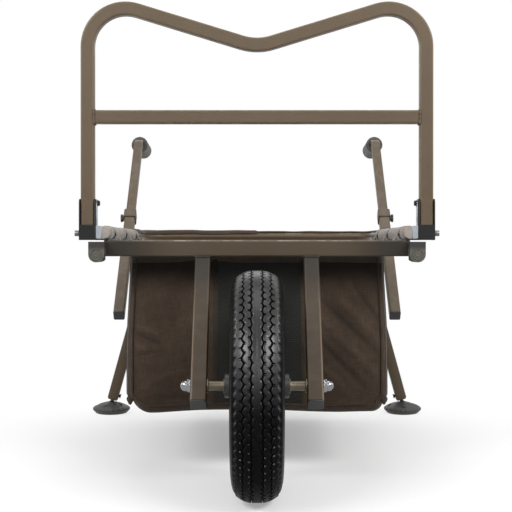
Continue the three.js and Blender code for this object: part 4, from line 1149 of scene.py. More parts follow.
class TROLLEY_OT_legs(bpy.types.Operator):
    """Legs: folding outer tubes, sliding inner tubes with their ball ends, brackets, pins and spring buttons,
    each with its edges rounded"""

    bl_idname = "trolley.legs"
    bl_label = "Legs"

    def execute(self, context):
        softened_pairs(
            ("leg_bracket", "bracket_powder_coat", "frame", 0.8),
            ("leg_pin", "zinc_plate", "frame", 0.8),
            ("leg_tube", "limb_powder_coat", "leg_{}", 0.9, 3),
            ("leg_shin", "limb_powder_coat black_plastic", "shin_{}", 0.7, 3),
            ("leg_button", "black_plastic", "button_{}", 0.9, 3),
        )
        for name, _ in SIDES:
            self.blacken_ball(name)
        return {"FINISHED"}

    def blacken_ball(self, name):
        """Faces of the inner tube that lie nearer to the foot's ball than its end is get black plastic."""
        x, y, _ = centre_of(f"foot_{name}")
        ball = Vector((x, y, BALL_HEIGHT)) * MM
        for face in bpy.data.objects[f"leg_shin_{name}_finished"].data.polygons:
            face.material_index = int((face.center - ball).length < BALL_REACH * MM)


class TROLLEY_OT_feet(bpy.types.Operator):
    """Mud feet: a lens-shaped disc turned about the upright, whose dome carries curved slots. The dome's
    height is its profile less a slot depth where the cosine of five times (angle less swirl) is near one"""

    bl_idname = "trolley.feet"
    bl_label = "Mud feet"

    def execute(self, context):
        under = [(0, 0), (12, 0), (20, 0.8), (28, 0), (37, 0), (44.5, 8), (44.5, 12)]
        dome = [(43.2, 13.6), (41.0, 15.2), (38.0, 16.9), (35.0, 18.4), (31.8, 19.9), (28.5, 21.2)]
        dome += [(25.0, 22.4)]
        neck = [(21.5, 23.4), (18.2, 24.3), (15.5, 25.2), (12.8, 26.0), (10.4, 26.2), (8.4, 25.8)]
        neck += [(7.8, 25.0)]
        socket = [(8.4, 23.0), (8.5, 21.0), (7.0, 17.2), (4.0, 14.5), (0, 13.6)]
        profile = np.vstack([eased(under + dome, 0.8, closed=False), neck, socket])
        slots, swirl, depth, flutes = 5, 1.1 / 28, 3.4, 24
        for name, side in SIDES:
            place = Place(centre_of(f"foot_{name}") * [1, 1, 0], np.eye(3))
            points, faces, wear = turned(profile[:, ::-1], place.along("z"), 120)
            x, y, height = (points - place.origin).T
            radius, angle = np.hypot(x, y), np.arctan2(y, x)
            slot = smoothstep(0.55, 0.8, np.cos(slots * (angle - side * swirl * (radius - 14))))
            slot *= smoothstep(17, 20, radius) * (1 - smoothstep(35, 39, radius)) * smoothstep(13, 16, height)
            rim = 0.012 * smoothstep(40, 44, radius) * smoothstep(6, 9, height) * np.cos(flutes * angle)
            points = points - columns(x * rim, y * rim, depth * slot)
            foot = (points, faces, wear)
            body = f"mud_foot_{name}"
            dress(f"{body}_disc", foot, "foot_plastic", body, [f"foot_{name}"], "foot_plastic", angle=30)
        return {"FINISHED"}


class TROLLEY_OT_hinges(bpy.types.Operator):
    """Gate hinges: black channels, plated stays and pins, knuckles in the posts, and a bolt in each stay's
    eye. The bolt is a profile turned about the hinge's line, with six flats"""

    bl_idname = "trolley.hinges"
    bl_label = "Gate hinges"

    def execute(self, context):
        bed = bed_place()
        softened_pairs(
            ("hinge_bracket", "black_coat", "frame", 0.8),
            ("hinge_stay", "zinc_plate", "frame", 0.5),
            ("hinge_pin", "dull_plate", "frame", 1.1, 3),
            ("post_plug", "black_plastic", "gate", 1.0),
        )
        head = [(0.1, 0), (0.1, 6.4), (-1.1, 6.4), (-1.2, 4.9), (-4.4, 4.9), (-4.6, 3.4), (-4.6, 0)]
        nut = [(0, 0), (0, 6.3), (-3.2, 6.3), (-3.6, 0)]
        for name, side in SIDES:
            eye = bed.moved((side * STAY_INNER, 0, EYE_HEIGHT))
            bolt = turned(eased(to_side(head, side), 0.35, closed=False), eye, 48)
            bolt = six_flats(bolt, eye, 4.2, 1.15)
            dress(f"stay_bolt_{name}", bolt, "black_coat", "frame", slot="black_steel")
            pin = bed.moved((side * (STAY_INNER - FIT_GAP), 0, PIN_HEIGHT))
            lock = turned(eased(to_side(nut, side), 0.4, closed=False), pin, 6)
            dress(f"pin_nut_{name}", lock, "zinc_plate", "frame", slot="zinc")
        return {"FINISHED"}


class TROLLEY_OT_bumpers(bpy.types.Operator):
    """Corner bumpers: rubber tongues with rounded edges, each with a moulded ring and a dimple on its face.
    The ring is a small circle turned about the bumper's own line"""

    bl_idname = "trolley.bumpers"
    bl_label = "Corner bumpers"

    def execute(self, context):
        bed = bed_place()
        ring = circle(1, full_turn(12)) * [0.9, 1.0] + [-0.4, 9.6]
        cup = [(0.1, 5.2), (-0.5, 5.0), (-0.7, 4.4), (-0.3, 2.6), (0.05, 1.2), (0.1, 0)]
        for name, side in SIDES:
            softened(f"corner_bumper_{name}", "bumper_rubber", "frame", 2.2, 4)
            place = bed.moved(BUMPER_FACE * np.array([side, 1, 1])).along("y")
            moulding = joined([turned(ring, place, 48, closed=True), turned(cup, place, 32)])
            dress(f"bumper_ring_{name}", moulding, "bumper_rubber", "frame", slot="bumper_rubber")
        return {"FINISHED"}


# Wheel and axle

PER_WAVE = 10
SIPE_HALF = 0.051


class TROLLEY_OT_tyre(bpy.types.Operator):
    """Tyre: a cross-section turned about the axle, with straight ribs between four grooves whose edges
    zigzag, narrow sipes at the zigzags' corners, scalloped shoulders and curved side walls"""

    bl_idname = "trolley.tyre"
    bl_label = "Tyre"

    def execute(self, context):
        count = setting("wheel.waves") * PER_WAVE
        turn = full_turn(count)
        tread = self.tread_rows((np.arange(count) % PER_WAVE) / PER_WAVE)
        wall = bezier([(37.6, 185.5), (48.4, 172), (49.2, 124), (33.8, 113.2)], 15)[1:]
        wall[:, 0] += 0.35 * hump(wall[:, 1], 178.5, 1.6) + 0.45 * hump(wall[:, 1], 121.0, 2.2)
        bead_seat = [(32.7, 112.4), (32.7, 106), (32.7, 101.9), (24.8, 101.9), (24.6, 103.0)]
        lining = [(30.6, 117), (37.4, 144.5), (34.6, 165), (23.2, 183.0), (10, 186.8), (0, 187.4)]
        right = [(a, r, 0.0) for a, r in np.vstack([wall, bead_seat, lining])]
        back = [(-a, r, 0.0) for a, r, _ in reversed(right[:-1])]
        half = PER_WAVE // 2
        left = [(-np.roll(a, half), np.roll(r, half), tone) for a, r, tone in reversed(tread[1:])]
        ring = back + left + tread + right
        across, radius, tone = (np.stack([np.broadcast_to(row[k], count) for row in ring]) for k in range(3))
        points = wheel_place().at(columns(across, radius * np.cos(turn), radius * np.sin(turn)))
        tyre = (points, grid_quads(len(ring), count, True, True), tone.ravel())
        dress("tyre_tread", tyre, "tyre_rubber", "wheel", ["tyre"], "tyre", angle=42)
        return {"FINISHED"}

    def tread_rows(self, phase):
        """The right half of the tread from the middle outwards: each row is (across, radius, wear) round the
        wheel. A groove's two edges shift together by a triangle wave. The radius is level on the middle rib,
        then falls with the square of the way to the shoulder."""
        swing = 1 - 4 * np.abs(((phase + 0.25) % 1) - 0.5)
        out_sipe, in_sipe = (
            np.minimum(np.abs(phase - at), 1 - np.abs(phase - at)) < SIPE_HALF for at in (0.25, 0.75)
        )
        half, depth = setting("wheel.groove_width") / 2, setting("wheel.groove_depth")
        rows = [(0, 1.0, -0.25), (0.7, 1.0, 0), (2.2, 1.0, 0)]
        for middle, wave in ((9.4, 1.3), (23.0, 2.1)):
            inner, outer = (middle + wave * swing + edge for edge in (-half, half))
            rows += [
                (inner - 2.0, 1.0, 0), (inner - 1.6, 1.0, 0.7 * in_sipe), (inner - 0.4, 1.0, 1.2 * in_sipe),
                (inner, 0.8, 0.3 + 1.2 * in_sipe), (inner + 0.35, 0.0, depth), (outer - 0.35, 0.0, depth),
                (outer, 0.8, 0.3 + 2.4 * out_sipe), (outer + 0.4, 1.0, 2.6 * out_sipe),
                (outer + 2.8, 1.0, 2.0 * out_sipe), (outer + 3.2, 1.0, 0),
            ]
        notch = smoothstep(0.25, 0.8, 0.5 + 0.5 * np.cos(2 * np.pi * (phase - 0.25)))
        rows += [
            (31.0, 1.0, 0), (33.2 - 0.6 * notch, 1.0, 0), (35.0 - 1.6 * notch, 1.0, 0.15 * notch),
            (36.2 - 2.4 * notch, 0.9, 0.5 + 0.6 * notch), (37.0 - 1.8 * notch, 0.5, 1.6 + 1.2 * notch),
            (37.4 - 0.7 * notch, 0.1, 3.0 + 1.0 * notch),
        ]
        made = []
        for across, wear, drop in rows:
            across = np.broadcast_to(across, phase.shape)
            share = np.maximum(0, np.abs(across) - 7.6) / 29.4
            made.append((across, WHEEL_RADIUS - 12 * share**2 - drop, wear))
        return made


class TROLLEY_OT_rim(bpy.types.Operator):
    """Rim and hub: sheet-steel sections turned about the axle, with a rolled flange, a dished web, bolts
    through the hub's flange, bearings, and a rubber valve"""

    bl_idname = "trolley.rim"
    bl_label = "Rim and hub"

    def execute(self, context):
        place = wheel_place()
        rim = turned(self.rim_section(), place, 128, closed=True)
        dress("rim_pressed", rim, "rim_enamel", "wheel", ["wheel_rim"], "rim_paint")
        dress("hub_turned", self.hub(place), "rim_enamel", "wheel", ["wheel_hub"], "rim_paint")
        section = [(45.7, 6.3), (45.7, 16), (55.7, 16), (55.7, 14.2)]
        section += [(55, 13.6), (55, 9.2), (55.7, 8.6), (55.7, 6.3)]
        for name, side in SIDES:
            race = turned(to_side(eased(section, 0.3), side), place, 64, closed=True)
            node = f"wheel_bearing_{name}"
            dress(f"bearing_{name}_race", race, "bearing_steel", "wheel", [node], "bearing_steel")
        softened("valve_stem", "black_plastic", "wheel", 0.6)
        softened("inner_tube", "tyre_rubber", "wheel", 0.5)
        return {"FINISHED"}

    def rim_section(self):
        """Flange, bead seat, well, and back under the same steps one sheet lower, with the dished web down to
        the hub."""
        half, seat, top, sheet = 33, 101.6, 112.6, 2.5
        well, slope, hub = 91.6, 25, 21.3
        outer = [(-half - sheet, top), (-half, top), (-half, seat), (-slope, seat), (-15, well)]
        right = [(-a, r) for a, r in reversed(outer)]
        inner = [(half + sheet, seat - sheet), (slope, seat - sheet), (15, well - sheet)]
        inner += [(10.5, well - sheet), (12.5, 70), (12.5, 46), (10.5, hub)]
        inner += [(7.5, hub), (9.5, 46), (9.5, 70), (7.5, well - sheet)]
        inner += [(-15, well - sheet), (-slope, seat - sheet), (-half - sheet, seat - sheet)]
        return eased(outer + right + inner, 1.4)

    def hub(self, place):
        """The hub with its flange, and four bolt heads on the flange."""
        outline = [(-56, 16.3), (-56, 21), (10.8, 21), (10.8, 40), (14.8, 40), (14.8, 21)]
        outline += [(56, 21), (56, 16.3), (45.4, 16.3), (45.4, 11), (-45.4, 11), (-45.4, 16.3)]
        grids = [turned(eased(outline, 0.8), place, 96, closed=True)]
        bolt = eased([(0, 0), (0, 5.4), (3.6, 5.4), (4.4, 3.4), (4.4, 0)], 0.5, closed=False)
        for y, z in circle(31, full_turn(4) + np.pi / 4):
            grids.append(turned(bolt, place.moved((14.8, y, z)), 6))
        return joined(grids)


class TROLLEY_OT_axle(bpy.types.Operator):
    """Axle: the spindle, flanged spacers, and domed hexagon nuts. A nut is a profile turned about the axle
    whose radius is held under its half width over the cosine of the angle from the nearest flat"""

    bl_idname = "trolley.axle"
    bl_label = "Axle, spacers and nuts"

    def execute(self, context):
        place = wheel_place()
        softened("axle", "zinc_plate", "frame", 0.6)
        outline = [(56.3, 6.3), (56.3, 13), (58.3, 13), (58.3, 8.3), (84.4, 8.3), (84.4, 12.4), (86.7, 12.4)]
        outline = eased([*outline, (86.7, 6.3)], 0.5)
        for name, side in SIDES:
            spacer, nut = f"axle_spacer_{name}", f"axle_nut_{name}"
            grid = turned(to_side(outline, side), place, 64, closed=True)
            dress(f"{spacer}_turned", grid, "olive_zinc_plate", "frame", [spacer], "zinc")
            dress(f"{nut}_domed", self.nut(place, side), "chrome_plate", "frame", [nut], "chrome", angle=24)
        return {"FINISHED"}

    def nut(self, place, side):
        """Flange, hexagon with a chamfered end, then a dome that closes on the axle's line."""
        start, hex_from, hex_to = 115.3, 117.8, 121.8
        dome, centre = 9.4, 123.9
        rise = np.linspace(math.asin((hex_to - centre) / dome), math.pi / 2, 10)
        cap = circle(dome, rise)[:, ::-1] + [centre, 0]
        flange = [(start, 0), (start, 11.3), (start + 0.4, 11.6), (hex_from - 0.5, 11.6), (hex_from, 11.2)]
        body = [(hex_from + 0.05, 11.05), (hex_to - 1.0, 11.05), (hex_to - 0.4, 10.3), (hex_to - 0.1, 9.4)]
        profile = np.vstack([flange, body, cap])
        return six_flats(turned(to_side(profile, side), place, 96), place, 9.5, hex_from + 0.01)


# Bag, pads, grips and hem

BAG_ROUND = 13
BAG_CORNERS = (38, 20)
BAG_CLOTH = 2.0
NET_FROM, NET_TO = -81, 89
TAPE_WIDTH = 9
ZIP_END = -284
PAD_FRONT, PAD_FROM, PAD_TO = -11.8, 13.3, 560
PAD_INNER, PAD_OUTER = 11.3, 13.2
LOOP_SHARES = (0.08, 0.5, 0.93)
LOOP_WIDTH = 30
LOOP_RUN = PAD_TO - PAD_FROM - LOOP_WIDTH
PATCH_STEPS = 25
HEM_END = 566
HEM_CLOTH = 1.0


def bag_lift(x):
    """How far the bag's bottom edge hangs above its plain line: more in the middle than at the left end."""
    return 4.5 * hump(x, -45, 190) - 2.5 * hump(x, -190, 120) + 0.8 * np.sin(np.asarray(x) / 31)


def flared(points):
    """The bag hangs a little wider below than at its rim: x is drawn in towards the top. The corners below
    the zips' ends are drawn in by a step that fades towards the middle."""
    x, y, z = np.moveaxis(points, -1, 0)
    corner = smoothstep(BAG_HALF_WIDTH - 90, BAG_HALF_WIDTH - 20, np.abs(x))
    step = 9 * np.sign(x) * smoothstep(ZIP_END + 3, ZIP_END - 5, z) * corner
    return columns(x * (1.006 - 0.03 * smoothstep(-200, -10, z)) - step, y, z)


def bag_outline(inset, count=150):
    """The bag's U as (x, z), and the length walked: down the left side, round the corner, along the bottom,
    and up again. It is set in from the full size by the inset."""
    half, bottom = BAG_HALF_WIDTH - inset, BAG_BOTTOM + inset
    turn = np.linspace(0, np.pi / 2, 14)
    left, right = (
        [size - half, size + bottom] - circle(size, turn) for size in np.subtract(BAG_CORNERS, inset)
    )
    outline = np.vstack([[[-half, BAG_TOP]], left, right[::-1] * [-1, 1], [[half, BAG_TOP]]])
    at = np.linspace(0, lengths(outline)[-1], count)
    path = walked(outline, at)
    path[:, 1] += smoothstep(BAG_BOTTOM + 90, BAG_BOTTOM, path[:, 1]) * bag_lift(path[:, 0])
    return path, at


def seam_path(inset, y, count, below):
    """The bag's outline at one station, from a little below the rim on the left to the same on the right."""
    outline, _ = bag_outline(inset, count)
    x, z = outline[outline[:, 1] < BAG_TOP - below].T
    return columns(x, y, z)


def from_tapes(x):
    """Distance from the nearer of the two tapes beside the net."""
    return np.minimum(np.abs(x - NET_FROM), np.abs(x - NET_TO))


def away_from_line(x, z, start, end):
    """Distance from a line between two points, and the share of the way along it."""
    start, end = np.array(start, float), np.array(end, float)
    way = end - start
    share = np.clip(((x - start[0]) * way[0] + (z - start[1]) * way[1]) / (way @ way), 0, 1)
    return np.hypot(x - start[0] - share * way[0], z - start[1] - share * way[1]), share


# Each fold: its start, its end, its width and its height. Ridges are positive and troughs negative
FRONT_FOLDS = (
    ((232, -180), (120, -60), 20, 1.0),
    ((232, -205), (110, -88), 14, -1.0),
    ((226, -244), (104, -120), 18, 0.9),
    ((206, -268), (100, -160), 14, -0.9),
    ((180, -284), (104, -212), 16, 0.7),
    ((232, -140), (176, -52), 12, -0.8),
    ((150, -300), (215, -296), 10, 0.7),
    ((-225, -150), (-186, -168), 8, 1.1),
    ((-226, -164), (-182, -184), 7, -1.1),
    ((-228, -184), (-196, -206), 9, 0.9),
    ((-226, -204), (-176, -196), 8, -0.7),
    ((-214, -262), (-150, -236), 16, 0.8),
    ((-205, -288), (-120, -282), 12, -0.8),
    ((-190, -60), (-120, -38), 16, 0.6),
    ((-130, -250), (-96, -296), 14, 0.7),
)


def front_folds(x, z):
    """The folds alone: each is a bell across its line that fades at both ends."""
    total = np.zeros(np.shape(x))
    for start, end, width, height in FRONT_FOLDS:
        away, share = away_from_line(x, z, start, end)
        total += height * hump(away, 0, width) * np.sin(np.pi * (0.12 + 0.76 * share))
    return total


def front_swell(x, z):
    """How far the bag's front stands ahead of its plain plane, in millimetres: a soft swell between the
    seams, slow waves and the folds, all held at the seams."""
    across = np.clip(1 - (x / 238) ** 2, 0, 1) ** 0.6
    down = np.clip((BAG_TOP - z) / (BAG_TOP - BAG_BOTTOM), 0, 1)
    swell = setting("soft.bag_bulge") * across * np.sin(np.pi * down**0.8) ** 0.8
    swell = swell + 0.8 * ripple2(x / 34, z / 40, 3) * across + 0.35 * ripple2(x / 12, z / 15, 8) * across
    swell = swell + setting("soft.crease_depth") * front_folds(x, z)
    pulled = smoothstep(238, 222, np.abs(x)) * smoothstep(0, 14, z - BAG_BOTTOM)
    return swell * pulled * smoothstep(0, 12, BAG_TOP - z)


class TROLLEY_OT_bag(bpy.types.Operator):
    """Bag: an open-topped shell of sewn sheets. Front and rear are grids whose columns end on the rounded
    lower corners, with a net panel in the front; the sides and bottom are the U outline carried from front
    to rear with rounded edges. Folds move the sheets along their own normals"""

    bl_idname = "trolley.bag"
    bl_label = "Bag"

    def execute(self, context):
        grids, uvs, slots = zip(self.panel(BAG_FRONT, -1), self.panel(BAG_REAR, 1), self.gusset())
        points, faces, shade = joined(grids)
        dress(
            "bag_sheets", (bed_place().at(flared(points)), faces, shade), "bag_cloth net_cloth binding_tape",
            "frame", ["bag"], "fabric", wall=(BAG_CLOTH, -1), uv=np.vstack(uvs), slots=np.concatenate(slots),
            angle=60, weld=False,
        )
        return {"FINISHED"}

    def sheet(self, points, quads, shade, uv, slots):
        """A sheet's grid, its uv in metres and its faces' materials, each as one long array. Near the rim the
        cloth is darkened with painted shade, as if in the bed's shadow."""
        # Painted shade: the edge number rises towards the rim.
        shade = np.maximum(shade, 0.92 * smoothstep(-100, -26, points[..., 2]))
        return (points.reshape(-1, 3), quads, shade.ravel()), uv.reshape(-1, 2) * MM, slots.ravel()

    def panel(self, plane, facing):
        """A grid from side seam to side seam. x runs evenly, and each column runs from the top edge to the
        bottom edge, which rises on a quarter circle over the rounded corners."""
        half = BAG_HALF_WIDTH - BAG_ROUND
        left, right = np.subtract(BAG_CORNERS, BAG_ROUND)
        turn = np.linspace(0, np.pi / 2, 10)[1:]
        middle = np.linspace(left - half, half - right, 141)
        left_end, right_end = left - half - left * np.sin(turn), half - right + right * np.sin(turn)
        x = np.concatenate([left_end[::-1], middle, right_end])
        corner = np.where(x < 0, left, right)
        rise = corner - np.sqrt(np.maximum(0, corner**2 - np.maximum(0, np.abs(x) - half + corner) ** 2))
        low = BAG_BOTTOM + BAG_ROUND + rise
        low = low + smoothstep(BAG_BOTTOM + 90, BAG_BOTTOM, low) * bag_lift(x)
        down = np.linspace(0, 1, 96)[:, None]
        z = BAG_TOP + (low - BAG_TOP) * down
        x = np.broadcast_to(x, z.shape)
        centre = x[:-1, :-1] / 2 + x[1:, 1:] / 2
        slots = np.zeros(centre.shape, int)
        quads, shade = grid_quads(*z.shape), 0.0
        if facing < 0:
            raised = 1 - smoothstep(TAPE_WIDTH / 2 - 1, TAPE_WIDTH / 2, from_tapes(x))
            swell = front_swell(x, z) + 0.9 * raised
            slots[(centre > NET_FROM) & (centre < NET_TO)] = 1
            slots[from_tapes(centre) < TAPE_WIDTH / 2] = 2
            # Painted shade in the hollows of the front's folds.
            quads, shade = quads[:, ::-1], 0.34 * np.clip(0.2 - front_folds(x, z), 0, 1)
        else:
            edge = smoothstep(238, 205, np.abs(x)) * smoothstep(0, 30, z - BAG_BOTTOM)
            swell = edge * (5 * np.sin(np.pi * down) + 1.2 * ripple2(x / 30, z / 36, 19))
        return self.sheet(columns(x, plane + facing * swell, z), quads, shade, columns(x, z), slots)

    def gusset(self):
        """The U outline at each station from the front seam to the rear seam. The first and last stations
        turn a quarter circle in from the full size; the sides and bottom swell between them."""
        turn = np.linspace(0, np.pi / 2, 6)
        inset, ahead = BAG_ROUND * (1 - np.sin(turn)), BAG_ROUND * (1 - np.cos(turn))
        run = np.linspace(BAG_FRONT + BAG_ROUND, BAG_REAR - BAG_ROUND, 90)[1:-1]
        insets = np.concatenate([inset, np.zeros(len(run)), inset[::-1]])
        stations = np.concatenate([BAG_FRONT + ahead, run, BAG_REAR - ahead[::-1]])
        outlines, far = zip(*(bag_outline(step) for step in insets))
        x, z = np.moveaxis(np.stack(outlines), -1, 0)
        y = np.broadcast_to(stations[:, None], x.shape)
        open_run = smoothstep(BAG_FRONT + 12, BAG_FRONT + 90, y) * smoothstep(BAG_REAR - 12, BAG_REAR - 90, y)
        side = smoothstep(200, 246, np.abs(x))
        under = smoothstep(BAG_BOTTOM + 40, BAG_BOTTOM + 4, z) * (1 - side)
        upper = smoothstep(BAG_TOP, BAG_TOP - 40, z)
        waves = ripple2(z / 38, y / 46, 31) + 0.5 * ripple2(z / 14, y / 18, 37)
        sides_out = side * open_run * upper * (1.5 + 1.6 * waves)
        sag = under * open_run * (4.5 + 1.5 * ripple2(x / 40, y / 44, 41))
        quads = grid_quads(*y.shape)[:, ::-1]
        points = columns(x + np.sign(x) * sides_out, y, z - sag)
        return self.sheet(points, quads, 0.0, columns(np.stack(far), y), np.zeros(len(quads), int))


def sewn(name, points, faces, uv, cloth, edge=0.0, angle=50):
    """A piece of the bag's trim. Its uv is given in millimetres."""
    dress(name, (points, faces, edge), cloth, "frame", slot="fabric", uv=uv * MM, angle=angle)


def cord(path, radius, steps=10, wobble=0.0):
    """A round cord along a path: circles square to it, drawn in to a point at both ends. Returns its points,
    its faces and its uv, which is the way round it and the length along it."""
    ways = unit(np.gradient(path, axis=0))
    across = unit(np.cross(ways, (0, 1, 0)))[:, None]
    upward = np.cross(across, ways[:, None])
    turn, far = full_turn(steps), lengths(path)
    size = radius * (1 + wobble * ripple(far / 7, 3))[:, None, None]
    ring = path[:, None] + size * (np.cos(turn)[:, None] * across + np.sin(turn)[:, None] * upward)
    ends = np.repeat(path[[0, -1]][:, None], steps, 1)
    far = np.concatenate([[0], far, far[-1:]])[:, None]
    points, uv = np.concatenate([ends[:1], ring, ends[1:]]), columns(turn * radius, far)
    return points, grid_quads(len(far), steps, False, True), uv


class TROLLEY_OT_bag_trim(bpy.types.Operator):
    """Bag trim: piping on the seams, zips with gathered ends, a binding folded over the top edge, and six
    strap loops that hang the bag from the bed's tube. Piping and zips are circles along the seam; the
    binding is a folded section carried round the rim; a loop is a band round a teardrop path"""

    bl_idname = "trolley.bag_trim"
    bl_label = "Bag binding, zips and loops"

    def execute(self, context):
        bed = bed_place()
        self.piping(bed)
        self.zips(bed)
        self.binding(bed)
        self.loops(bed)
        return {"FINISHED"}

    def piping(self, bed):
        """Cords on the four seams, from front to rear. Each darkens below the rim."""
        lines = (
            (BAG_ROUND, BAG_FRONT - 0.6, 1.5),
            (0.2, BAG_FRONT + BAG_ROUND + 1.5, 1.3),
            (0.2, BAG_REAR - BAG_ROUND - 1.5, 1.3),
            (BAG_ROUND, BAG_REAR + 0.6, 1.5),
        )
        for at, (inset, y, radius) in enumerate(lines, 1):
            points, faces, uv = cord(seam_path(inset, y, 260, 2), radius, 10, 0.08)
            dark = 0.75 * smoothstep(ZIP_END - 4, ZIP_END + 12, points[..., 2]).ravel()
            sewn(f"bag_piping_{at}", bed.at(flared(points)), faces, uv, "piping_cord", dark, angle=60)

    def zips(self, bed):
        """A zip down each front corner, half way round its rounding."""
        turn = math.radians(48)
        inset, y = BAG_ROUND * (1 - math.sin(turn)), BAG_FRONT + BAG_ROUND * (1 - math.cos(turn))
        seam = seam_path(inset, y, 420, 3)
        for name, side in SIDES:
            path = seam[(np.sign(seam[:, 0]) == side) & (seam[:, 2] > ZIP_END)]
            points, faces, uv = cord(path, 2.1, 12)
            sewn(f"bag_zip_{name}", bed.at(flared(points)), faces, uv, "zip_coil", angle=60)
            self.zip_end(bed.moved((side * (BAG_HALF_WIDTH - 5.5), y - 1.5, ZIP_END - 4)), name)

    def zip_end(self, place, name):
        """A gathered tab: an ellipsoid whose radius is pinched and pleated round its upright line."""
        rise, turn = np.linspace(0, np.pi, 25)[:, None], full_turn(40)
        waist = np.sin(rise) * (1 - 0.25 * np.sin(2 * rise) ** 2)
        size = waist * (1 + 0.12 * np.cos(7 * turn) * np.sin(rise) + 0.05 * ripple2(rise * 3, turn * 3, 5))
        points = columns(6.2 * size * np.cos(turn), 3.6 * size * np.sin(turn), 11 * np.cos(rise))
        faces, uv = grid_quads(len(rise), len(turn), False, True), columns(turn * 4, rise * 9)
        sewn(f"bag_zip_end_{name}", place.at(points), faces, uv, "bag_cloth", angle=60)

    def binding(self, bed):
        """The section hangs over the rim on both sides; its ring follows the bag's plan, a rounded
        rectangle."""
        half_x, half_y = BAG_HALF_WIDTH - 0.2, (BAG_REAR - BAG_FRONT) / 2
        quarter = circle(BAG_ROUND, np.linspace(0, np.pi / 2, 8)) + [half_x - BAG_ROUND, half_y - BAG_ROUND]
        plan = np.vstack([quarter, quarter[::-1] * [-1, 1], quarter * [-1, -1], quarter[::-1] * [1, -1]])
        closed = np.vstack([plan, plan[:1]])
        at = np.linspace(0, lengths(closed)[-1], 481)[:-1]
        path = walked(closed, at)
        way = unit(np.roll(path, -1, 0) - np.roll(path, 1, 0))
        out = columns(way[:, 1], -way[:, 0])
        section = [(1.3, -27), (1.3, -15.2), (0.6, -13.9), (-3.0, -13.9), (-3.8, -15.2), (-3.8, -27)]
        section = eased(section + [(-2.2, -27), (-2.2, -15.6), (-0.1, -15.6), (-0.1, -27)], 0.5, 2)
        x, y = np.moveaxis(path[:, None] + section[:, :1] * out[:, None], -1, 0)
        depth = section[:, 1] + 0.5 * ripple(at / 24, 12)[:, None]
        points = columns(x, y + (BAG_REAR + BAG_FRONT) / 2, depth)
        faces, uv = grid_quads(*depth.shape, True, True), columns(lengths(section), at[:, None])
        sewn("bag_rim_binding", bed.at(flared(points)), faces, uv, "binding_tape")

    def loops(self, bed):
        """Each band leaves the bag's wall, runs round the padded tube and comes back to the wall: a point,
        two tangents and an arc, with the same path drawn again one thickness inside."""
        centre = np.array([BED_HALF_WIDTH, BED_TUBE_HEIGHT])
        foot = np.array([0.98 * BAG_HALF_WIDTH - 0.5, BAG_TOP - 2.0])
        away = np.linalg.norm(centre - foot)
        base = math.atan2(*(foot - centre)[::-1])

        def teardrop(radius, pinch):
            half = math.acos(radius / away)
            arc = centre + circle(radius, np.linspace(base + half, base - half + 2 * np.pi, 40))
            tip = foot + (centre - foot) / away * pinch
            lead = np.linspace(0, 1, 9)[:, None]
            return np.vstack([tip + (arc[0] - tip) * lead[:-1], arc, arc[-1] + (tip - arc[-1]) * lead[1:-1]])

        outer, inner = teardrop(13.85, 0.0), teardrop(13.0, 4.5)
        middle = (outer + inner) / 2
        rows = np.array([0, 1.2, 9, 15, 21, 28.8, LOOP_WIDTH])
        hold = np.array([0.5, 1, 1, 1, 1, 1, 0.5])[:, None, None]
        for at, share in enumerate(LOOP_SHARES):
            y = PAD_FROM + share * LOOP_RUN + rows
            give = 1 + 0.006 * np.sin(np.linspace(0, 9, len(y)) + at)[:, None, None]
            back = middle + (inner - middle) * hold
            x, z = np.moveaxis(np.concatenate([middle + (outer - middle) * hold * give, back[::-1]]), -1, 0)
            line = np.concatenate([y, y[::-1]])[:, None]
            faces, uv = grid_quads(*x.shape, True, True), columns(line, lengths(outer))
            for name, side in SIDES:
                band = bed.at(columns(side * x, line, z))
                sewn(f"bag_loop_{name}_{at + 1}", band, faces, uv, "loop_webbing")
                self.patch(bed, f"bag_loop_patch_{name}_{at + 1}", side, y[0] + LOOP_WIDTH / 2)

    def patch(self, bed, name, side, middle):
        """The loop's tail sewn to the wall: a rounded pad whose rim and crossed seams are pressed in."""
        u, v = np.meshgrid(*[np.linspace(-1, 1, PATCH_STEPS)] * 2)
        reach = np.maximum(np.abs(u), np.abs(v))
        crossed = np.abs(np.abs(u) - np.abs(v)) + 0.2 * (reach > 0.72)
        seam = 1 - smoothstep(0.02, 0.08, np.minimum(np.abs(reach - 0.72), crossed))
        thick = 1.9 * (1 - smoothstep(0.9, 1.0, reach)) - 0.55 * seam * (reach < 0.9)
        out = np.stack([BAG_HALF_WIDTH - 0.4 + thick, np.full(u.shape, BAG_HALF_WIDTH - 1.2)])
        points = columns(side * out, middle + 15 * u, -31 + 15 * v)
        number = np.arange(u.size).reshape(u.shape)
        ring = np.concatenate([number[0, :-1], number[:-1, -1], number[-1, :0:-1], number[:0:-1, 0]])
        after = np.roll(ring, -1)
        faces = np.vstack([
            grid_quads(*u.shape), grid_quads(*u.shape, first=u.size)[:, ::-1],
            columns(ring, ring + u.size, after + u.size, after),
        ])
        uv = np.tile(columns(u, v).reshape(-1, 2) * 15, (2, 1))
        sewn(name, bed.at(flared(points)), faces, uv, "binding_tape")


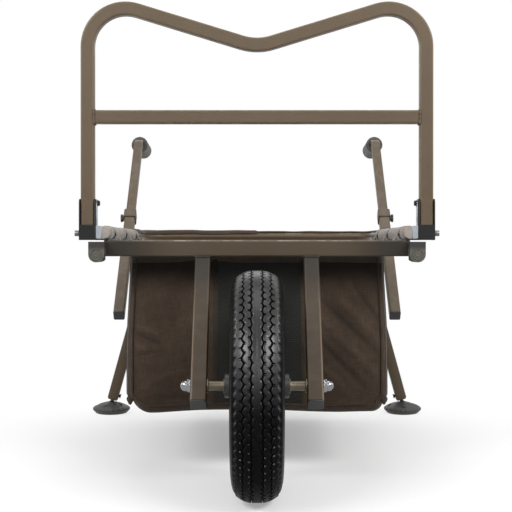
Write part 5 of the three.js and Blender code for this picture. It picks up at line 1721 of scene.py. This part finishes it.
class TROLLEY_OT_foam(bpy.types.Operator):
    """Foam: split sleeves on the bed's side tubes, squeezed under the bag's loops, and grips on the handles.
    A sleeve is a circle along the tube whose radius dips at the loops and at its split; a grip is a profile
    turned about the handle's drooping end"""

    bl_idname = "trolley.foam"
    bl_label = "Foam pads and grips"

    def execute(self, context):
        bed = bed_place()
        for name, side in SIDES:
            pad, grip = f"side_pad_{name}", f"handle_grip_{name}"
            grid = self.pad(bed.moved((side * BED_HALF_WIDTH, 0, BED_TUBE_HEIGHT)), side)
            piece = dress(f"{pad}_foam", grid, "pad_foam", "frame", [pad], "foam", angle=50)
            grid, body = self.grip(side), f"handle_{name}"
            piece = dress(f"{grip}_foam", grid, "grip_foam", body, [grip], "foam", angle=50)
        return {"FINISHED"}

    def pad(self, place, side):
        """A sleeve along the tube, with an inner wall and closed ends, thinner ahead of the front rail's edge
        and flattened below where a rail passes."""
        evenly = np.linspace(PAD_FRONT, PAD_TO, 200)
        rail = MIDDLE_RAIL_AT + np.array([-12.8, -12.4, 12.4, 12.8])
        y = np.unique(np.concatenate([evenly, [PAD_FROM - 0.1, PAD_FROM + 0.1], rail]))
        turn = full_turn(48)
        squeeze = sum(hump(y, PAD_FROM + share * LOOP_RUN + LOOP_WIDTH / 2, 40) for share in LOOP_SHARES)
        split = hump(turn, 2.3 if side < 0 else 0.84, 0.16)
        outer = PAD_OUTER + 0.3 - 0.2 * squeeze[:, None] - 0.7 * split
        outer = outer + 0.12 * ripple2(y[:, None] / 20, turn * 1.3, 51 + side)
        outer[[0, -1]] -= 0.6
        front = y < PAD_FROM
        outer[front] = 11.95 - 0.6 * smoothstep(-8, PAD_FRONT, y[front, None])
        inner = np.full_like(outer, PAD_INNER - 0.15)
        end = np.zeros((1, len(turn)))
        radius = np.concatenate([end, outer, inner, end])
        line = np.concatenate([y[:1] - 0.8, y, y[::-1], y[:1] + 0.9])[:, None]
        z = radius * np.sin(turn)
        over_rail = (np.abs(line - MIDDLE_RAIL_AT) < 12.6) | (line < PAD_FROM)
        z = np.where(over_rail, np.maximum(z, -BED_TUBE_RADIUS - 0.2), z)
        return place.at(columns(radius * np.cos(turn), line, z)), grid_quads(*z.shape, False, True), 0.0

    def grip(self, side):
        """A grip with a rounded end and a fine grain on its outside."""
        start = handle_place(side).at((0, HANDLE_ABOVE, 0))
        lean = math.degrees(setting("frame.handle_incline")) - GRIP_FALL
        place = Place(start, turned_axes(lean)).moved((0, GRIP_START, 0)).along("y")
        profile = [
            (118, 0), (118, 11.4), (1.2, 11.4), (0, 12.6), (0, 16.6), (0.9, 19.8), (3.4, 21.6), (6, 22),
            (30, 21.8), (63, 21.6), (96, 21.8), (120, 22), (122.8, 21.6), (125.1, 19.6), (126, 16.4),
            (125.8, 12.4), (124.9, 11.6), (124.9, 6), (125.1, 0),
        ]
        points, *rest = turned(eased(profile, 0.5, 2, closed=False), place, 72)
        along, y, z = place.local(points).T
        grain = 0.10 * ripple2(along / 6, np.arctan2(z, y) * 3, 61)
        size = 1 + np.where(np.hypot(y, z) > 18, grain / 22, 0)
        return place.at(columns(along, y * size, z * size)), *rest


class TROLLEY_OT_hem(bpy.types.Operator):
    """Rear hem: a sleeve of cloth over the bed's rear tube, open below, gathered at its ends and pushed up
    higher on its left half. Its section is an arc carried round the tube's bends"""

    bl_idname = "trolley.hem"
    bl_label = "Rear hem"

    def execute(self, context):
        line = [(-1, HEM_END), (-1, BED_LENGTH), (1, BED_LENGTH), (1, HEM_END)]
        corners = [(side * BED_HALF_WIDTH, y, BED_TUBE_HEIGHT) for side, y in line]
        places, ways = rounded_route(corners, (BED_CORNER, BED_CORNER), 24)
        far = lengths(places)
        at = np.linspace(0, far[-1], 420)
        path, way = walked(places, at, far), unit(walked(ways, at, far))
        left = 1 - smoothstep(-6, 4, path[:, 0])
        front_edge = np.radians(52 - 24 * left + 5 * ripple(at / 40, 75))[:, None]
        turn = front_edge + (np.radians(228) - front_edge) * np.linspace(0, 1, 60)
        end = np.minimum(at, far[-1] - at)
        pushed_up = (0.3 + 2.6 * left * smoothstep(0, 40, end) + 0.5 * ripple(at / 26, 73))[:, None]
        radius = PAD_INNER + 1.0 + 0.35 * ripple2(at[:, None] / 15, turn * 2, 71)
        radius = radius + np.clip(np.sin(turn), 0, 1) ** 2 * pushed_up
        radius = radius + 1.1 * np.exp(-end / 22)[:, None] * np.abs(np.sin(6.5 * turn))
        across = np.cross(way, (0, 0, 1))[:, None]
        section = circle(radius, turn)
        points = path[:, None] + section[..., :1] * across + section[..., 1:] * [0, 0, 1]
        dress(
            "rear_hem_sleeve", (bed_place().at(points), grid_quads(*turn.shape)[:, ::-1], 0.0), "bag_cloth",
            "frame", ["rear_hem"], "fabric", wall=(HEM_CLOTH, 1), uv=columns(turn * 13, at[:, None]) * MM,
            angle=60, weld=False,
        )
        return {"FINISHED"}


# Stage

# Each lamp: its name, its place and aim in metres, its width and height, and its power
LAMPS = (
    ("overhead", (0.0, 0.2, 3.0), (0, 0, 0.2), (2.0, 2.0), 28),
    ("front_left", (-1.7, -2.1, 2.0), (0, -0.6, 0.4), (1.9, 0.9), 60),
    ("front_right", (1.7, -2.1, 2.0), (0, -0.6, 0.4), (1.9, 0.9), 66),
    ("front_wall", (0.0, -4.2, 1.9), (0, -0.3, 0.8), (1.6, 1.6), 14),
    ("rear_wall", (0.0, 3.2, 1.9), (0, 0.2, 0.4), (1.8, 1.8), 9),
    ("side_left", (-2.3, 0.0, 1.2), (0, -0.3, 0.6), (0.9, 0.9), 12),
    ("side_right", (2.3, 0.0, 1.2), (0, -0.3, 0.6), (0.9, 0.9), 12),
)


class TROLLEY_OT_stage(bpy.types.Operator):
    """Stage: a pale floor that keeps the trolley's shadow, a white surround, soft lamps and the camera. The
    floor is a round sheet whose rim rises on a smooth curve"""

    bl_idname = "trolley.stage"
    bl_label = "Floor, lamps and camera"

    def execute(self, context):
        radius = np.concatenate([[0], np.linspace(0.4, 5, 40), np.linspace(5.2, 6.5, 12)])[:, None]
        turn = full_turn(96)
        rise = 1.4 * smoothstep(5, 6.5, radius) * (radius - 5).clip(0)
        points = columns(radius * np.cos(turn), radius * np.sin(turn), rise) / MM
        sheet = (points, grid_quads(len(radius), len(turn), False, True), 0.0)
        new_piece("studio_floor", sheet, [self.floor_finish()])
        self.surround(context.scene)
        for lamp in LAMPS:
            self.lamp(context.scene, *lamp)
        self.camera(context.scene)
        context.scene.view_settings.view_transform = "Standard"
        return {"FINISHED"}

    def seen(self, t):
        """1 for camera, mirror and glass rays, and 0 for the others."""
        path = t.add("LightPath").outputs
        mirrored = t.plus(path["Is Camera Ray"], path["Is Glossy Ray"])
        return t.math("MINIMUM", t.plus(mirrored, path["Is Transmission Ray"]), 1.0)

    def floor_finish(self):
        """Diffuse white that also glows a little for camera, mirror and glass rays, fully so far from the
        trolley, so that only its shadow shows."""
        t, surface, where = new_material("studio_floor")
        tone = t.tone(where, setting("stage.floor"), 0.7, 0.01)
        t.fill(surface, Base_Color=tone["Colour"], Roughness=0.85, Specular_IOR_Level=0.1)
        middle = t.add("Mapping", Vector=where, Location=(0, 0.25, 0)).outputs[0]
        far = t.add("VectorMath", {"operation": "LENGTH"}, Vector=middle).outputs["Value"]
        fade, seen = t.spread(far, 0.36, 0.8), self.seen(t)
        glow, lift = (
            t.add("Emission", Color=(1, 1, 1), Strength=strength).outputs[0]
            for strength in (1.0, t.times(seen, 0.32))
        )
        near = t.numbered("AddShader", {}, {0: surface.outputs[0], 1: lift})[0]
        mixed = t.numbered("MixShader", {}, {0: t.times(fade, seen), 1: near, 2: glow})[0]
        t.plug(t.tree.nodes["Material Output"].inputs["Surface"], mixed)
        return bpy.data.materials["studio_floor"]

    def surround(self, scene):
        """White where it is seen, and a dimmer grey where it lights the trolley."""
        scene.world = bpy.data.worlds.new("studio_surround")
        scene.world.use_nodes = True
        t = Tree(scene.world.node_tree)
        strength = t.math("MAXIMUM", self.seen(t), 0.18)
        t.fill(t.tree.nodes["Background"], Color=(1, 1, 1), Strength=strength)

    def lamp(self, scene, name, place, aim, size, power):
        light = bpy.data.lights.new(name, "AREA")
        light.shape = "RECTANGLE"
        light.size, light.size_y = size
        light.energy = power * 2 * setting("stage.lamp_level")
        lamp = bpy.data.objects.new(name, light)
        scene.collection.objects.link(lamp)
        lamp.location = place
        lamp.rotation_euler = (Vector(aim) - Vector(place)).to_track_quat("-Z", "Y").to_euler()

    def camera(self, scene):
        lens = bpy.data.cameras.new("photo_camera")
        lens.sensor_width = 36
        lens.lens = setting("stage.lens")
        lens.shift_x = -0.00195
        scene.camera = bpy.data.objects.new("photo_camera", lens)
        scene.collection.objects.link(scene.camera)
        scene.camera.location = (0, -setting("stage.camera_distance"), setting("stage.camera_height"))
        scene.camera.rotation_euler = (math.pi / 2 - setting("stage.camera_tilt"), 0, 0)


# Panel and running

PIECES = (
    TROLLEY_OT_bed, TROLLEY_OT_fork, TROLLEY_OT_gate, TROLLEY_OT_hinges, TROLLEY_OT_bumpers,
    TROLLEY_OT_handles, TROLLEY_OT_legs, TROLLEY_OT_feet, TROLLEY_OT_tyre, TROLLEY_OT_rim,
    TROLLEY_OT_axle, TROLLEY_OT_bag, TROLLEY_OT_bag_trim, TROLLEY_OT_foam, TROLLEY_OT_hem,
    TROLLEY_OT_stage,
)
SETTINGS = {
    "trolley_frame": TrolleyFrameSettings,
    "trolley_wheel": TrolleyWheelSettings,
    "trolley_soft": TrolleySoftSettings,
    "trolley_stage": TrolleyStageSettings,
}


class TROLLEY_PT_pieces(bpy.types.Panel):
    """Lists the trolley's settings and its pieces"""

    bl_label = "Fishing trolley"
    bl_idname = "TROLLEY_PT_pieces"
    bl_space_type = "VIEW_3D"
    bl_region_type = "UI"
    bl_category = "Trolley"

    def draw(self, context):
        for name, kind in SETTINGS.items():
            box = self.layout.box()
            for key in kind.__annotations__:
                box.prop(getattr(context.scene, name), key)
        for piece in PIECES:
            self.layout.operator(piece.bl_idname)


def register():
    for kind in SETTINGS.values():
        bpy.utils.register_class(kind)
    for name, kind in SETTINGS.items():
        setattr(bpy.types.Scene, name, bpy.props.PointerProperty(type=kind))
    for kind in (*PIECES, TROLLEY_PT_pieces):
        bpy.utils.register_class(kind)


def unregister():
    for kind in (*PIECES, TROLLEY_PT_pieces):
        bpy.utils.unregister_class(kind)
    for name, kind in SETTINGS.items():
        delattr(bpy.types.Scene, name)
        bpy.utils.unregister_class(kind)


def main():
    register()
    for piece in PIECES:
        group, name = piece.bl_idname.split(".")
        getattr(getattr(bpy.ops, group), name)()


if __name__ == "__main__":
    main()
